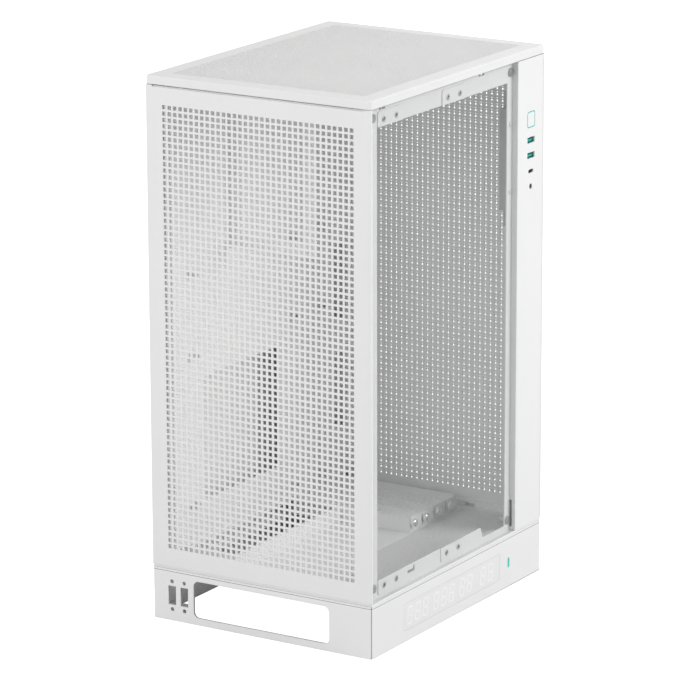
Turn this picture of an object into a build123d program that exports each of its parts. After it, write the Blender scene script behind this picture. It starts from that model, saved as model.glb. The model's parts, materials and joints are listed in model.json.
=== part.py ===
from build123d import *
import os

# A small tower case for a desktop computer, in millimetres.
# +X is the glass side, -Y the perforated rear, +Y the front, +Z up.
# The origin is the middle of the footprint, on the floor.

# Overall sizes
width = 220.0
depth = 289.0
height = 475.0

# Sheet metal and general clearances
sheet = 1.0
seam = 0.6
running = 0.3
flush = 0.1

# Base skirt
base_height = 46.5
base_wall = 2.0
base_corner = 3.0
base_flange = 9.0
base_flange_thick = 1.5
foot_block = 22.0
foot_block_height = 8.0
pad_radius = 8.0
pad_height = 1.6
pad_proud = 0.6
pad_inset = 12.0

# Cable cut-out and the two plug cut-outs in the rear of the base
cable_width = 136.0
cable_low = 7.0
cable_high = 39.8
cable_corner = 5.0
plug_width = 7.6
plug_height = 16.8
plug_middle = 23.3
plug_inset = 20.0
plug_pitch = 12.4
plug_screw_pitch = 25.0
plug_screw_radius = 1.8

# Display in the glass side of the base
window_width = 164.0
window_height = 24.0
window_middle_y = -11.0
window_middle_z = 22.5
window_thick = 1.2
window_corner = 2.0
window_lap = 2.0
digit_width = 9.0
digit_height = 16.0
digit_stroke = 1.5
digit_deep = 0.8
digit_pitch = 13.0
digit_groups = ((-76.0, 3), (-32.0, 3), (12.0, 2), (48.0, 2))
digit_gap = 1.0
board_thick = 1.6
board_overhang = 2.0
board_peg_radius = 0.8
board_peg_inset = 3.0
mark_offset = 97.5
mark_width = 3.2
mark_height = 9.0

# Floor pan
pan_edge = 1.0
pan_inset = 1.0
aperture_length = 158.75
aperture_width = 44.45
aperture_drop = 3.4
deck_margin = 4.0
rim = 3.0

# Frame inside the panels
recess = 5.65
rear_setback = 1.5
front_setback = 3.0
post_width = 16.7
end_leg = 10.35
opening_front = 55.9
rail_drop = 17.1
end_rail_drop = 13.0
rail_flange = 12.0
lip_height = 15.5
lip_low_height = 5.8
lip_step = 42.0
lip_slant = 4.0
lid_gap = 1.0
end_rail_flange = 9.0
low_rail_flange = 3.0
ledge_depth = 2.6
ledge_height = 5.7
ledge_window_gap = 1.5
ledge_window_length = 10.0
ledge_window_low = 0.8
ledge_window_high = 1.8

# Hook slots: pairs under the lid, as (offset, length), and one J above the floor
hook_pair = ((-3.6, 3.0), (1.6, 5.4))
hook_pair_drops = (3.2, 1.4)
hook_insets = (8.6, 44.1)
hook_j_inset = 54.9
hook_j_length = 12.0
hook_j_rise = 8.0
hook_j_width = 2.6
hook_j_arm = 2.8

# Strengthening plates on the side rails, each with two rivets
plate_thick = 0.8
plate_length = 38.3
plate_height = 13.0
plate_corner = 3.0
plate_places = (18.6, 122.0)
rivet_pitch = 19.7
rivet_rise_top = 5.7
rivet_rise_low = 9.5
rivet_head = 0.5
rivet_head_radius = 2.6
rivet_bore_radius = 1.2
rivet_shank_radius = 1.7

# Panels and lid
lid_height = 7.4
lid_corner = 3.0
rear_hem = 2.0
front_hem = 3.0
rear_notch = 1.2
rear_notch_inset = 6.8
grille_gap = 0.4

# Glass pane, its studs and their catches
glass_thick = 4.0
glass_inset = 0.3
glass_corner = 2.0
stud_radius = 1.8
stud_length = 6.0
stud_base_radius = 3.6
stud_base_thick = 0.4
catch_radius = 3.1
catch_flange_radius = 4.0
catch_flange = 0.6
catch_length = 6.0
catch_rear_inset = 9.7
catch_front_inset = 4.6
catch_low_gap = 10.3
catch_top_gap = 8.3

# Push clips that hold the lid and the other panels
clip_radius = 2.2
clip_hole_radius = 2.5
clip_length = 5.0
clip_head_radius = 4.0
clip_z_inset = 26.0
clip_leg_inset = 5.3
peg_inset = 14.0
peg_block = 8.0

# Motherboard tray, standoffs and power supply bracket
tray_inset = 22.0
tray_low_gap = 14.0
tray_top_gap = 5.0
tray_clip_gap = 0.55
standoff_length = 6.5
standoff_flat = 5.0
standoff_bore = 1.25
board_to_slots = 166.0
board_gap = 1.2
board_columns = (10.16, 165.10, 237.49)
board_rows = (6.35, 163.83, 209.55)
board_corner_hole = 33.02
cooler_width = 120.0
cooler_height = 110.0
cooler_corner = 6.0
grommet_width = 22.0
grommet_height = 70.0
grommet_corner = 8.0
grommet_inset = 3.0
grommet_places = (80.0, 180.0)
supply_width = 86.0
supply_height = 150.0
supply_start = 90.0
supply_wall = 12.0
supply_flange = 20.0
supply_screw_radius = 1.8
supply_holes = ((6.0, 16.0), (6.0, 80.0), (144.0, 80.0), (120.0, 6.0))

# Expansion slots, their covers and thumbscrews
slot_pitch = 20.32
slot_count = 4
slot_front_margin = 18.72
slot_block_height = 14.5
slot_reach = 121.0
slot_opening_inset = 10.0
slot_lip = 5.0
cover_width = 18.4
cover_thick = 0.8
cover_floor_gap = 2.0
cover_hole_radius = 1.2
cover_hole_inset = 4.0
cover_hole_offset = 7.0
slot_opening = 12.7
vent_pitch = 5.4
vent_length = 3.9
vent_width = 1.5
vent_slant = 28.0
vent_row_offset = 3.0
vent_row_shift = 1.0
vent_margin = 8.0
vent_count = 18
screw_offset = -7.2
screw_drop = 5.6
screw_head_radius = 3.7
screw_head_length = 4.4
screw_radius = 1.7
screw_length = 7.0
screw_collar = 0.8
screw_collar_step = 0.5
screw_cross = 3.6
screw_cross_width = 0.9
screw_cross_depth = 1.4

# Front connector column
column_width = 47.0
column_wall = 1.2
column_gap = 0.2
pull_rise = 3.0
pull_width = 2.2
pull_height = 24.5
button_width = 11.6
button_height = 12.4
button_corner = 1.8
button_travel = 1.0
button_deep = 2.7
button_skirt = 0.65
button_stem = 4.4
button_stem_radius = 1.6
switch_size = 6.0
ring_width = 0.9
port_inset = 23.7
button_drop = 61.9
usb_a_drops = (80.0, 93.5)
usb_c_drop = 107.4
jack_drop = 120.9
usb_a_width = 12.6
usb_a_height = 5.2
usb_shell = 0.35
usb_corner = 0.4
usb_back = 6.0
usb_tongue_inset = 0.8
usb_tongue_span = (-1.5, 0.4)
usb_tongue_recess = 2.0
usb_c_width = 8.9
usb_c_height = 3.1
usb_c_corner = 1.54
usb_c_tongue_width = 6.6
usb_c_tongue_thick = 0.7
usb_c_tongue_recess = 2.2
jack_radius = 3.0
jack_bore = 1.8
jack_mouth = 0.6
jack_depth = 14.0
housing_drop = 52.5
housing_length = 89.5
housing_width = 27.0
housing_deep = 17.0
housing_wall = 1.5
housing_ear = 15.0
housing_ear_inset = 5.0
housing_ear_thick = 3.0
housing_tab = 9.0
housing_tab_thick = 2.5
housing_tab_gap = 2.0
io_board_gap = 0.4
io_peg_length = 1.0
io_peg_radius = 1.5
io_peg_inset = 2.5
io_peg_end = 5.0
rail_screw_drops = (62.3, 121.6)
rail_screw_inset = 5.9
rail_screw_head = 0.7
rail_screw_head_radius = 2.4
rail_screw_length = 4.0

# Planes worked out from the sizes above
side = width / 2
end = depth / 2
lid_bottom = height - lid_height
pan_under = base_height + pan_edge
floor_top = pan_under + sheet
frame_face = side - recess
frame_inner = frame_face - sheet
frame_top = lid_bottom - lid_gap
rear_frame = -end + rear_setback
front_frame = end - front_setback
opening_rear = rear_frame + post_width
opening_front_y = end - opening_front
panel_low = floor_top + running
panel_high = lid_bottom - seam
glass_outer = side - glass_inset
glass_inner = glass_outer - glass_thick
tray_face = -side + tray_inset
tray_edge = -frame_face + clip_leg_inset + clip_radius + tray_clip_gap
board_face = tray_face + sheet + standoff_length
column_y = end - column_width
port_y = end - port_inset
slot_y = end - slot_front_margin - slot_pitch * slot_count
slot_top = floor_top + slot_block_height
slot_end = tray_face + slot_reach + sheet
board_y = slot_y - board_to_slots
board_low = slot_top + board_gap
mark_y = window_middle_y + mark_offset
clip_z = (floor_top + clip_z_inset, frame_top - clip_z_inset)
catch_z = (floor_top + catch_low_gap, frame_top - catch_top_gap)
catch_y = (rear_frame + catch_rear_inset, opening_front_y + catch_front_inset)
button_z = height - button_drop
usb_a_z = [height - drop for drop in usb_a_drops]
usb_c_z = height - usb_c_drop
jack_z = height - jack_drop
housing_high = height - housing_drop
housing_low = housing_high - housing_length
rail_screw_z = [height - drop for drop in rail_screw_drops]


def block(x0, x1, y0, y1, z0, z1):
    size = Box(x1 - x0, y1 - y0, z1 - z0, align=(Align.MIN, Align.MIN, Align.MIN))
    return Pos(x0, y0, z0) * size


def rod_x(x0, x1, y, z, radius):
    rod = Cylinder(radius, x1 - x0, align=(Align.CENTER, Align.CENTER, Align.MIN))
    return Pos(x0, y, z) * Rot(0, 90, 0) * rod


def rod_y(x, y0, y1, z, radius):
    rod = Cylinder(radius, y1 - y0, align=(Align.CENTER, Align.CENTER, Align.MIN))
    return Pos(x, y0, z) * Rot(-90, 0, 0) * rod


def rod_z(x, y, z0, z1, radius):
    rod = Cylinder(radius, z1 - z0, align=(Align.CENTER, Align.CENTER, Align.MIN))
    return Pos(x, y, z0) * rod


def rounded_x(x0, x1, y, z, y_size, z_size, radius):
    # A rounded bar along X, centred on (y, z)
    outline = Plane.YZ * RectangleRounded(y_size, z_size, radius)
    return Pos(x0, y, z) * extrude(outline, x1 - x0, dir=(1, 0, 0))


def rounded_y(x, y0, y1, z, x_size, z_size, radius):
    # A rounded bar along Y, centred on (x, z)
    outline = Plane.XZ * RectangleRounded(x_size, z_size, radius)
    return Pos(x, y0, z) * extrude(outline, y1 - y0, dir=(0, 1, 0))


def rounded_box(x_size, y_size, z0, z1, radius):
    return Pos(0, 0, z0) * extrude(RectangleRounded(x_size, y_size, radius), z1 - z0)


def mirror_x(shape):
    return mirror(shape, about=Plane.YZ)


def write(name, *solids):
    group = solids[0] if len(solids) == 1 else Compound(children=list(solids))
    export_step(group, f"parts/{name}.step")


# ---- Base ----

def plug_places():
    return [-side + plug_inset + plug_pitch * index for index in range(2)]


def foot_places():
    x = side - pad_inset
    y = end - pad_inset
    return [(sx * x, sy * y) for sx in (-1, 1) for sy in (-1, 1)]


def base_skirt():
    inner_radius = base_corner - base_wall
    shell = rounded_box(width, depth, pad_proud, base_height, base_corner)
    hollow_top = base_height - base_flange_thick
    inner_x = width - 2 * base_wall
    inner_y = depth - 2 * base_wall
    hollow = rounded_box(inner_x, inner_y, pad_proud, hollow_top, inner_radius)
    mouth_x = width - 2 * base_flange
    mouth_y = depth - 2 * base_flange
    mouth = rounded_box(mouth_x, mouth_y, hollow_top, base_height, inner_radius)
    skirt = shell - hollow - mouth
    for x, y in foot_places():
        corner_x = (side - base_wall) * (1 if x > 0 else -1)
        corner_y = (end - base_wall) * (1 if y > 0 else -1)
        inner_x = corner_x - foot_block * (1 if x > 0 else -1)
        inner_y = corner_y - foot_block * (1 if y > 0 else -1)
        span_x = sorted((corner_x, inner_x))
        span_y = sorted((corner_y, inner_y))
        skirt += block(*span_x, *span_y, pad_proud, pad_proud + foot_block_height)
    for x, y in foot_places():
        skirt -= rod_z(x, y, pad_proud, pad_height, pad_radius + flush)
    cable_middle = (cable_low + cable_high) / 2
    skirt -= rounded_y(0, -end, -end + base_wall, cable_middle, cable_width,
                       cable_high - cable_low, cable_corner)
    for x in plug_places():
        skirt -= rounded_y(x, -end, -end + base_wall, plug_middle, plug_width, plug_height, flush)
        for sz in (-1, 1):
            z = plug_middle + sz * plug_screw_pitch / 2
            skirt -= rod_y(x, -end, -end + base_wall, z, plug_screw_radius)
    seat_y = window_width + 2 * flush
    seat_z = window_height + 2 * flush
    skirt -= rounded_x(side - window_thick, side, window_middle_y, window_middle_z,
                       seat_y, seat_z, window_corner)
    sight_y = window_width - 2 * window_lap
    sight_z = window_height - 2 * window_lap
    skirt -= rounded_x(side - base_wall, side, window_middle_y, window_middle_z,
                       sight_y, sight_z, window_corner / 2)
    mark_hole = rounded_x(side - base_wall, side, mark_y, window_middle_z,
                          mark_width + 2 * flush, mark_height + 2 * flush, mark_width / 2)
    return skirt - mark_hole


def foot_pads():
    return [rod_z(x, y, 0, pad_height, pad_radius) for x, y in foot_places()]


def digit_places():
    places = []
    for start, count in digit_groups:
        for index in range(count):
            places.append(window_middle_y + start + digit_width / 2 + digit_pitch * index)
    return places


def digit(y, x0, x1, grow):
    # A figure eight of light guides: the outline less its two counters
    half_w = digit_width / 2 + grow
    half_h = digit_height / 2 + grow
    stroke = digit_stroke + 2 * grow
    z = window_middle_z
    solid = block(x0, x1, y - half_w, y + half_w, z - half_h, z + half_h)
    counter_w = half_w - stroke
    solid -= block(x0, x1, y - counter_w, y + counter_w, z + stroke / 2, z + half_h - stroke)
    solid -= block(x0, x1, y - counter_w, y + counter_w, z - half_h + stroke, z - stroke / 2)
    return solid


def display_window():
    window = rounded_x(side - window_thick, side, window_middle_y, window_middle_z,
                       window_width, window_height, window_corner)
    for y in digit_places():
        window -= digit(y, side - window_thick, side - window_thick + digit_deep, flush / 2)
    return window


def display_digits():
    front = side - window_thick + digit_deep - flush
    back = side - base_wall - digit_gap
    return [digit(y, back, front, 0) for y in digit_places()]


def display_board():
    back = side - base_wall - digit_gap - board_thick
    half_w = window_width / 2
    half_h = window_height / 2 + board_overhang
    plate = block(back, back + board_thick, window_middle_y - half_w, window_middle_y + half_w,
                  window_middle_z - half_h, window_middle_z + half_h)
    # Four pegs hold the board off the wall
    for sy in (-1, 1):
        for sz in (-1, 1):
            y = window_middle_y + sy * (half_w - board_peg_inset)
            z = window_middle_z + sz * (half_h - board_peg_radius - flush)
            plate += rod_x(back + board_thick, side - base_wall, y, z, board_peg_radius)
    return plate


def status_mark():
    return rounded_x(side - base_wall, side, mark_y, window_middle_z,
                     mark_width, mark_height, mark_width / 2 - flush)


# ---- Floor and frame ----

def floor_pan():
    outer_x = side - pan_inset
    outer_y = end - pan_inset
    inner_x = outer_x - sheet
    inner_y = outer_y - sheet
    pan = block(-outer_x, outer_x, -outer_y, outer_y, base_height, floor_top)
    pan -= block(-inner_x, inner_x, -inner_y, inner_y, base_height, pan_under)
    # Openings under the connector deck and under the expansion slots
    for span_x, span_y in (deck_spans(), slot_spans()):
        pan -= block(span_x[0] + rim, span_x[1] - rim, span_y[0] + rim, span_y[1] - rim,
                     pan_under, floor_top)
    return pan


def side_leg(y0, y1):
    return block(frame_inner, frame_face, y0, y1, floor_top, frame_top)


def catch_hole(y, z):
    return rod_x(frame_inner, frame_face, y, z, catch_radius + flush)


def rear_post():
    post = side_leg(rear_frame, opening_rear)
    post += block(frame_face - end_leg, frame_inner, rear_frame, rear_frame + sheet, floor_top, frame_top)
    for z in clip_z:
        post -= rod_y(frame_face - clip_leg_inset, rear_frame, rear_frame + sheet, z, clip_hole_radius)
    for z in catch_z:
        post -= catch_hole(catch_y[0], z)
    return post


def front_end_leg():
    leg = block(frame_face - end_leg, frame_inner, front_frame - sheet, front_frame, floor_top, frame_top)
    for z in clip_z:
        leg -= rod_y(frame_face - clip_leg_inset, front_frame - sheet, front_frame, z, clip_hole_radius)
    return leg


def front_left_post():
    post = side_leg(opening_front_y, front_frame) + front_end_leg()
    half = housing_width / 2 - housing_wall
    post -= block(frame_inner, frame_face, port_y - half, port_y + half,
                  housing_low + housing_wall, housing_high - housing_wall)
    for z in rail_screw_z:
        post -= rod_x(frame_inner, frame_face, opening_front_y + rail_screw_inset, z, screw_radius)
    for z in catch_z:
        post -= catch_hole(catch_y[1], z)
    return post


def front_right_post():
    post = side_leg(front_frame - post_width, front_frame) + front_end_leg()
    for z in catch_z:
        post -= catch_hole(front_frame - catch_rear_inset, z)
    return mirror_x(post)


def hook_slots(y):
    # A pair of short slots under the lid that the pane's hooks drop into
    slots = []
    for offset, length in hook_pair:
        slots.append(block(frame_inner, frame_face, y + offset - length / 2, y + offset + length / 2,
                           frame_top - hook_pair_drops[0], frame_top - hook_pair_drops[1]))
    return slots


def plate_middles():
    return [-end + place + plate_length / 2 for place in plate_places]


def rivet_places(z):
    return [(y + s * rivet_pitch / 2, z) for y in plate_middles() for s in (-1, 1)]


def top_rivet_z():
    return frame_top - rail_drop + rivet_rise_top


def low_rivet_z():
    return floor_top + rivet_rise_low


def top_left_rail():
    low = frame_top - rail_drop
    rail = block(frame_inner, frame_face, opening_rear, opening_front_y, low, frame_top)
    rail += block(frame_face - rail_flange, frame_inner, opening_rear, opening_front_y,
                  frame_top - sheet, frame_top)
    for y in (opening_rear + hook_insets[0], opening_front_y - hook_insets[1]):
        for slot in hook_slots(y):
            rail -= slot
    for y, z in rivet_places(top_rivet_z()):
        rail -= rod_x(frame_inner, frame_face, y, z, rivet_shank_radius)
    for x, y in lid_peg_places():
        rail -= rod_z(x, y, frame_top - sheet, frame_top, clip_hole_radius)
    return rail


def top_right_rail():
    low = frame_top - rail_drop
    back = front_frame - post_width
    rail = block(-frame_face, -frame_inner, opening_rear, back, low, frame_top)
    rail += block(-frame_inner, -frame_face + rail_flange, opening_rear, back, frame_top - sheet, frame_top)
    for x, y in lid_peg_places():
        rail -= rod_z(x, y, frame_top - sheet, frame_top, clip_hole_radius)
    return rail


def end_rail(y0, y1, z0, z1, flange_y, flange_z):
    # A cross rail between the end legs of two posts, with a flange turned inwards
    reach = frame_face - end_leg
    rail = block(-reach, reach, y0, y1, z0, z1)
    return rail + block(-reach, reach, *flange_y, *flange_z)


def top_rear_rail():
    inner = rear_frame + sheet
    return end_rail(rear_frame, inner, frame_top - end_rail_drop, frame_top,
                    (inner, inner + end_rail_flange), (frame_top - sheet, frame_top))


def top_front_rail():
    inner = front_frame - sheet
    return end_rail(inner, front_frame, frame_top - end_rail_drop, frame_top,
                    (inner - end_rail_flange, inner), (frame_top - sheet, frame_top))


def bottom_rear_rail():
    inner = rear_frame + sheet
    return end_rail(rear_frame, inner, floor_top, floor_top + end_rail_drop,
                    (inner, inner + low_rail_flange), (floor_top, floor_top + sheet))


def bottom_front_rail():
    riser = front_frame - ledge_depth
    top = floor_top + ledge_height
    rail = end_rail(riser, riser + sheet, floor_top, top, (riser + sheet, front_frame), (top - sheet, top))
    window_x = slot_end + ledge_window_gap
    return rail - block(window_x, window_x + ledge_window_length, riser, riser + sheet,
                        floor_top + ledge_window_low, top - ledge_window_high)


def bottom_left_rail():
    high = floor_top + lip_height
    low = floor_top + lip_low_height
    step = opening_front_y - lip_step
    outline = Polyline(
        (opening_rear, floor_top),
        (opening_front_y, floor_top),
        (opening_front_y, low),
        (step + lip_slant, low),
        (step, high),
        (opening_rear, high),
        close=True,
    )
    face = Plane.YZ * make_face(outline)
    rail = Pos(frame_inner, 0, 0) * extrude(face, sheet, dir=(1, 0, 0))
    rail += block(frame_face - rail_flange, frame_inner, opening_rear, opening_front_y,
                  floor_top, floor_top + sheet)
    for y, z in rivet_places(low_rivet_z()):
        rail -= rod_x(frame_inner, frame_face, y, z, rivet_shank_radius)
    # The J-shaped hook slot between the two plates
    y0 = opening_rear + hook_j_inset - hook_j_length / 2
    y1 = y0 + hook_j_length
    z0 = floor_top + hook_j_rise
    z1 = z0 + hook_j_width
    rail -= block(frame_inner, frame_face, y0, y1, z0, z1)
    return rail - block(frame_inner, frame_face, y1 - hook_j_width, y1, z1, z1 + hook_j_arm)


def bottom_right_rail():
    back = front_frame - post_width
    rail = block(-frame_face, -frame_inner, opening_rear, back, floor_top, floor_top + lip_height)
    return rail + block(-frame_inner, -frame_face + rail_flange, opening_rear, back,
                        floor_top, floor_top + sheet)


def plate(y, z0, round_top):
    # One outer corner is rounded, on the side away from the rail's edge
    outline = Plane.YZ * RectangleRounded(plate_length, plate_height, plate_corner)
    body = Pos(frame_face, y, z0 + plate_height / 2) * extrude(outline, plate_thick, dir=(1, 0, 0))
    flat_z = z0 if round_top else z0 + plate_height - plate_corner
    half = plate_length / 2
    return body + block(frame_face, frame_face + plate_thick, y - half, y + half,
                        flat_z, flat_z + plate_corner)


def rail_plates():
    plates = []
    for y in plate_middles():
        top = plate(y, frame_top - rail_drop, True)
        low = plate(y, floor_top + lip_height - plate_height, False)
        for ry, rz in rivet_places(top_rivet_z()):
            top -= rod_x(frame_face, frame_face + plate_thick, ry, rz, rivet_shank_radius)
        for ry, rz in rivet_places(low_rivet_z()):
            low -= rod_x(frame_face, frame_face + plate_thick, ry, rz, rivet_shank_radius)
        plates += [top, low]
    return plates


def plate_rivets():
    rivets = []
    outer = frame_face + plate_thick
    for y, z in rivet_places(top_rivet_z()) + rivet_places(low_rivet_z()):
        rivet = rod_x(outer, outer + rivet_head, y, z, rivet_head_radius)
        rivet += rod_x(frame_inner, outer, y, z, rivet_shank_radius - flush / 2)
        rivet += rod_x(frame_inner - rivet_head, frame_inner, y, z, rivet_head_radius)
        bore = rod_x(frame_inner - rivet_head, outer + rivet_head, y, z, rivet_bore_radius)
        rivets.append(rivet - bore)
    return rivets


# ---- Glass pane ----

def glass_panel():
    y0 = -end + rear_hem + seam
    y1 = column_y - seam
    z0 = panel_low
    z1 = panel_high
    outline = RectangleRounded(y1 - y0, z1 - z0, glass_corner)
    pane = extrude(Plane.YZ * outline, glass_thick, dir=(1, 0, 0))
    return Pos(glass_inner, (y0 + y1) / 2, (z0 + z1) / 2) * pane


def stud_group(x_seat, places):
    studs = []
    for y, z in places:
        stud = rod_x(x_seat - stud_base_thick, x_seat, y, z, stud_base_radius)
        stud += rod_x(x_seat - stud_length, x_seat - stud_base_thick, y, z, stud_radius)
        studs.append(stud)
    return studs


def glass_places():
    return [(y, z) for y in catch_y for z in catch_z]


def right_places():
    back = front_frame - catch_rear_inset
    return [(y, z) for y in (catch_y[0], back) for z in catch_z]


def catch_group(places):
    catches = []
    for y, z in places:
        catch = rod_x(frame_face, frame_face + catch_flange, y, z, catch_flange_radius)
        catch += rod_x(frame_face - catch_length, frame_face, y, z, catch_radius)
        bore = rod_x(frame_face - catch_length, frame_face + catch_flange, y, z, stud_radius + running)
        catches.append(catch - bore)
    return catches


# ---- Panels and lid ----

def lid_peg_places():
    x = frame_face - rail_flange / 2
    return [(sx * x, y) for sx in (-1, 1) for y in (opening_rear + peg_inset, opening_front_y - peg_inset)]


def top_lid():
    lid = rounded_box(width, depth, lid_bottom, height, lid_corner)
    inner_x = width - 2 * sheet
    inner_y = depth - 2 * sheet
    return lid - rounded_box(inner_x, inner_y, lid_bottom, height - sheet, lid_corner - sheet)


def lid_pegs():
    pegs = []
    for x, y in lid_peg_places():
        half = peg_block / 2
        peg = block(x - half, x + half, y - half, y + half, frame_top, height - sheet)
        pegs.append(peg + rod_z(x, y, frame_top - clip_length, frame_top, clip_radius))
    return pegs


def end_clips(y_seat, y_frame, direction):
    # Push clips between an end panel's inner face and the frame behind it
    clips = []
    x = frame_face - clip_leg_inset
    for sx in (-1, 1):
        for z in clip_z:
            span = sorted((y_seat, y_frame))
            clip = rod_y(sx * x, *span, z, clip_head_radius)
            reach = sorted((y_frame, y_frame + direction * clip_length))
            clips.append(clip + rod_y(sx * x, *reach, z, clip_radius))
    return clips


def rear_panel():
    panel = block(-side, side, -end, -end + sheet, panel_low, panel_high)
    for sx in (-1, 1):
        span = sorted((sx * side, sx * (side - sheet)))
        panel += block(*span, -end + sheet, -end + rear_hem, panel_low, panel_high)
    notch = side - rear_notch_inset
    return panel - block(-notch, notch, -end, -end + sheet, panel_high - rear_notch, panel_high)


def front_panel():
    panel = block(-side, side, end - sheet, end, panel_low, panel_high)
    for sx in (-1, 1):
        span = sorted((sx * side, sx * (side - sheet)))
        panel += block(*span, end - front_hem, end - sheet, panel_low, panel_high)
    return panel


def front_grille():
    reach = side - sheet - grille_gap
    grille = block(-reach, reach, front_frame, front_frame + sheet, floor_top, frame_top)
    for sx in (-1, 1):
        for z in clip_z:
            x = sx * (frame_face - clip_leg_inset)
            grille -= rod_y(x, front_frame, front_frame + sheet, z, clip_hole_radius)
    return grille


def right_panel():
    y0 = -end + rear_hem + seam
    y1 = end - front_hem - seam
    panel = block(-side, -side + sheet, y0, y1, panel_low, panel_high)
    for y in (y0, y1 - sheet):
        panel += block(-side + sheet, -frame_face - catch_flange, y, y + sheet, panel_low, panel_high)
    return panel


def right_studs():
    studs = stud_group(side - sheet, right_places())
    return [mirror_x(stud) for stud in studs]


def right_catches():
    return [mirror_x(catch) for catch in catch_group(right_places())]


# ---- Motherboard tray ----

def standoff_places():
    places = [(board_y + board_rows[0], board_low + board_corner_hole)]
    for row in board_rows:
        for column in board_columns:
            if row == board_rows[0] and column == board_columns[0]:
                continue
            places.append((board_y + row, board_low + column))
    return places


def motherboard_tray():
    y0 = rear_frame + sheet
    y1 = front_frame - sheet
    low = floor_top + tray_low_gap
    top = frame_top - tray_top_gap
    tray = block(tray_face, tray_face + sheet, y0, y1, low, top)
    for y in (y0, y1 - sheet):
        tray += block(tray_edge, tray_face, y, y + sheet, low, top)
    middle_y = board_y + (board_rows[0] + board_rows[1]) / 2
    middle_z = board_low + (board_columns[0] + board_columns[1]) / 2
    tray -= rounded_x(tray_face, tray_face + sheet, middle_y, middle_z,
                      cooler_width, cooler_height, cooler_corner)
    grommet_y = y1 - sheet - grommet_width / 2 - grommet_inset
    for place in grommet_places:
        tray -= rounded_x(tray_face, tray_face + sheet, grommet_y, board_low + place,
                          grommet_width, grommet_height, grommet_corner)
    for y, z in standoff_places():
        tray -= rod_x(tray_face, tray_face + sheet, y, z, standoff_bore)
    return tray


def board_standoffs():
    standoffs = []
    for y, z in standoff_places():
        prism = Plane.YZ * RegularPolygon(standoff_flat / 2, 6, major_radius=False)
        body = Pos(tray_face + sheet, y, z) * extrude(prism, standoff_length, dir=(1, 0, 0))
        bore = rod_x(tray_face + sheet, board_face, y, z, standoff_bore)
        standoffs.append(body - bore)
    return standoffs


def supply_bracket():
    # The face plate that a power supply bolts to, hung from the tray
    y = -end + supply_start
    x0 = tray_face + sheet
    z1 = frame_top - tray_top_gap
    z0 = z1 - supply_height
    bracket = block(x0, x0 + supply_width, y, y + sheet, z0, z1)
    window_x = (x0 + supply_wall, x0 + supply_width - supply_wall)
    bracket -= block(*window_x, y, y + sheet, z0 + supply_wall, z1 - supply_wall)
    bracket += block(x0, x0 + sheet, y + sheet, y + supply_flange, z0, z1)
    for along, across in supply_holes:
        bracket -= rod_y(x0 + across, y, y + sheet, z0 + along, supply_screw_radius)
    return bracket


# ---- Expansion slots ----

def slot_spans():
    return (tray_face + sheet, slot_end), (slot_y, slot_y + slot_pitch * slot_count)


def aperture_spans():
    x0 = board_face - aperture_drop
    return (x0, x0 + aperture_width), (board_y, board_y + aperture_length)


def deck_spans():
    # The raised deck around the connector opening, from the tray to just past the opening
    span_x, span_y = aperture_spans()
    return (tray_face + sheet, span_x[1] + deck_margin), (span_y[0] - deck_margin, slot_y)


def connector_deck():
    span_x, span_y = deck_spans()
    top = slot_top - cover_thick
    deck = block(*span_x, *span_y, floor_top, top)
    deck -= block(span_x[0], span_x[1] - sheet, span_y[0] + sheet, span_y[1], floor_top, top - sheet)
    open_x, open_y = aperture_spans()
    return deck - block(*open_x, *open_y, top - sheet, top)


def slot_middle(index):
    return slot_y + slot_pitch * (index + 0.5)


def slot_screw_place(index):
    return slot_middle(index) + screw_offset, slot_top - screw_drop


def slot_frame():
    (x0, _), (_, stop_y) = slot_spans()
    deck_top = slot_top - cover_thick
    frame = block(x0, slot_end, slot_y, stop_y, floor_top, deck_top)
    frame -= block(x0, slot_end - sheet, slot_y + sheet, stop_y - sheet, floor_top, deck_top - sheet)
    for index in range(slot_count):
        y = slot_middle(index)
        half = slot_opening / 2
        frame -= block(x0 + slot_opening_inset, slot_end - slot_opening_inset, y - half, y + half,
                       deck_top - sheet, deck_top)
        screw_y, screw_z = slot_screw_place(index)
        frame -= rod_x(slot_end - sheet, slot_end, screw_y, screw_z, screw_radius + flush)
    # The lip that holds the covers' far ends down
    lip_z = slot_top + running
    frame += block(x0, x0 + slot_lip, slot_y, stop_y, lip_z, lip_z + sheet)
    return frame + block(x0, x0 + sheet, slot_y, stop_y, deck_top, lip_z)


def slot_cover(index, vented):
    y = slot_middle(index)
    half = cover_width / 2
    x0 = tray_face + 2 * sheet + running
    x1 = slot_end + cover_thick
    cover = block(x0, x1, y - half, y + half, slot_top - cover_thick, slot_top)
    cover += block(slot_end, x1, y - half, y + half,
                   floor_top + cover_floor_gap, slot_top - cover_thick)
    screw_y, screw_z = slot_screw_place(index)
    cover -= rod_x(slot_end, x1, screw_y, screw_z, screw_radius + flush)
    if not vented:
        return cover
    vent = Box(vent_length, vent_width, 4 * cover_thick)
    for row, shift in ((-1, 0.0), (1, 0.5)):
        for step in range(vent_count):
            x = slot_end - vent_margin - vent_pitch * (step + shift)
            row_y = y + row * vent_row_offset - vent_row_shift
            cover -= Pos(x, row_y, slot_top) * Rot(0, 0, vent_slant) * vent
    return cover - rod_z(slot_end - cover_hole_inset, y + cover_hole_offset,
                         slot_top - cover_thick, slot_top, cover_hole_radius)


def thumbscrew(index):
    y, z = slot_screw_place(index)
    x0 = slot_end + cover_thick
    x1 = x0 + screw_head_length
    screw = rod_x(x0, x0 + screw_collar, y, z, screw_head_radius - screw_collar_step)
    screw += rod_x(x0 + screw_collar, x1, y, z, screw_head_radius)
    screw += rod_x(x0 - screw_length, x0, y, z, screw_radius)
    for turn in (0, 90):
        arm = Box(2 * screw_cross_depth, screw_cross, screw_cross_width)
        screw -= Pos(x1, y, z) * Rot(turn, 0, 0) * arm
    return screw


# ---- Front connectors ----

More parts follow.
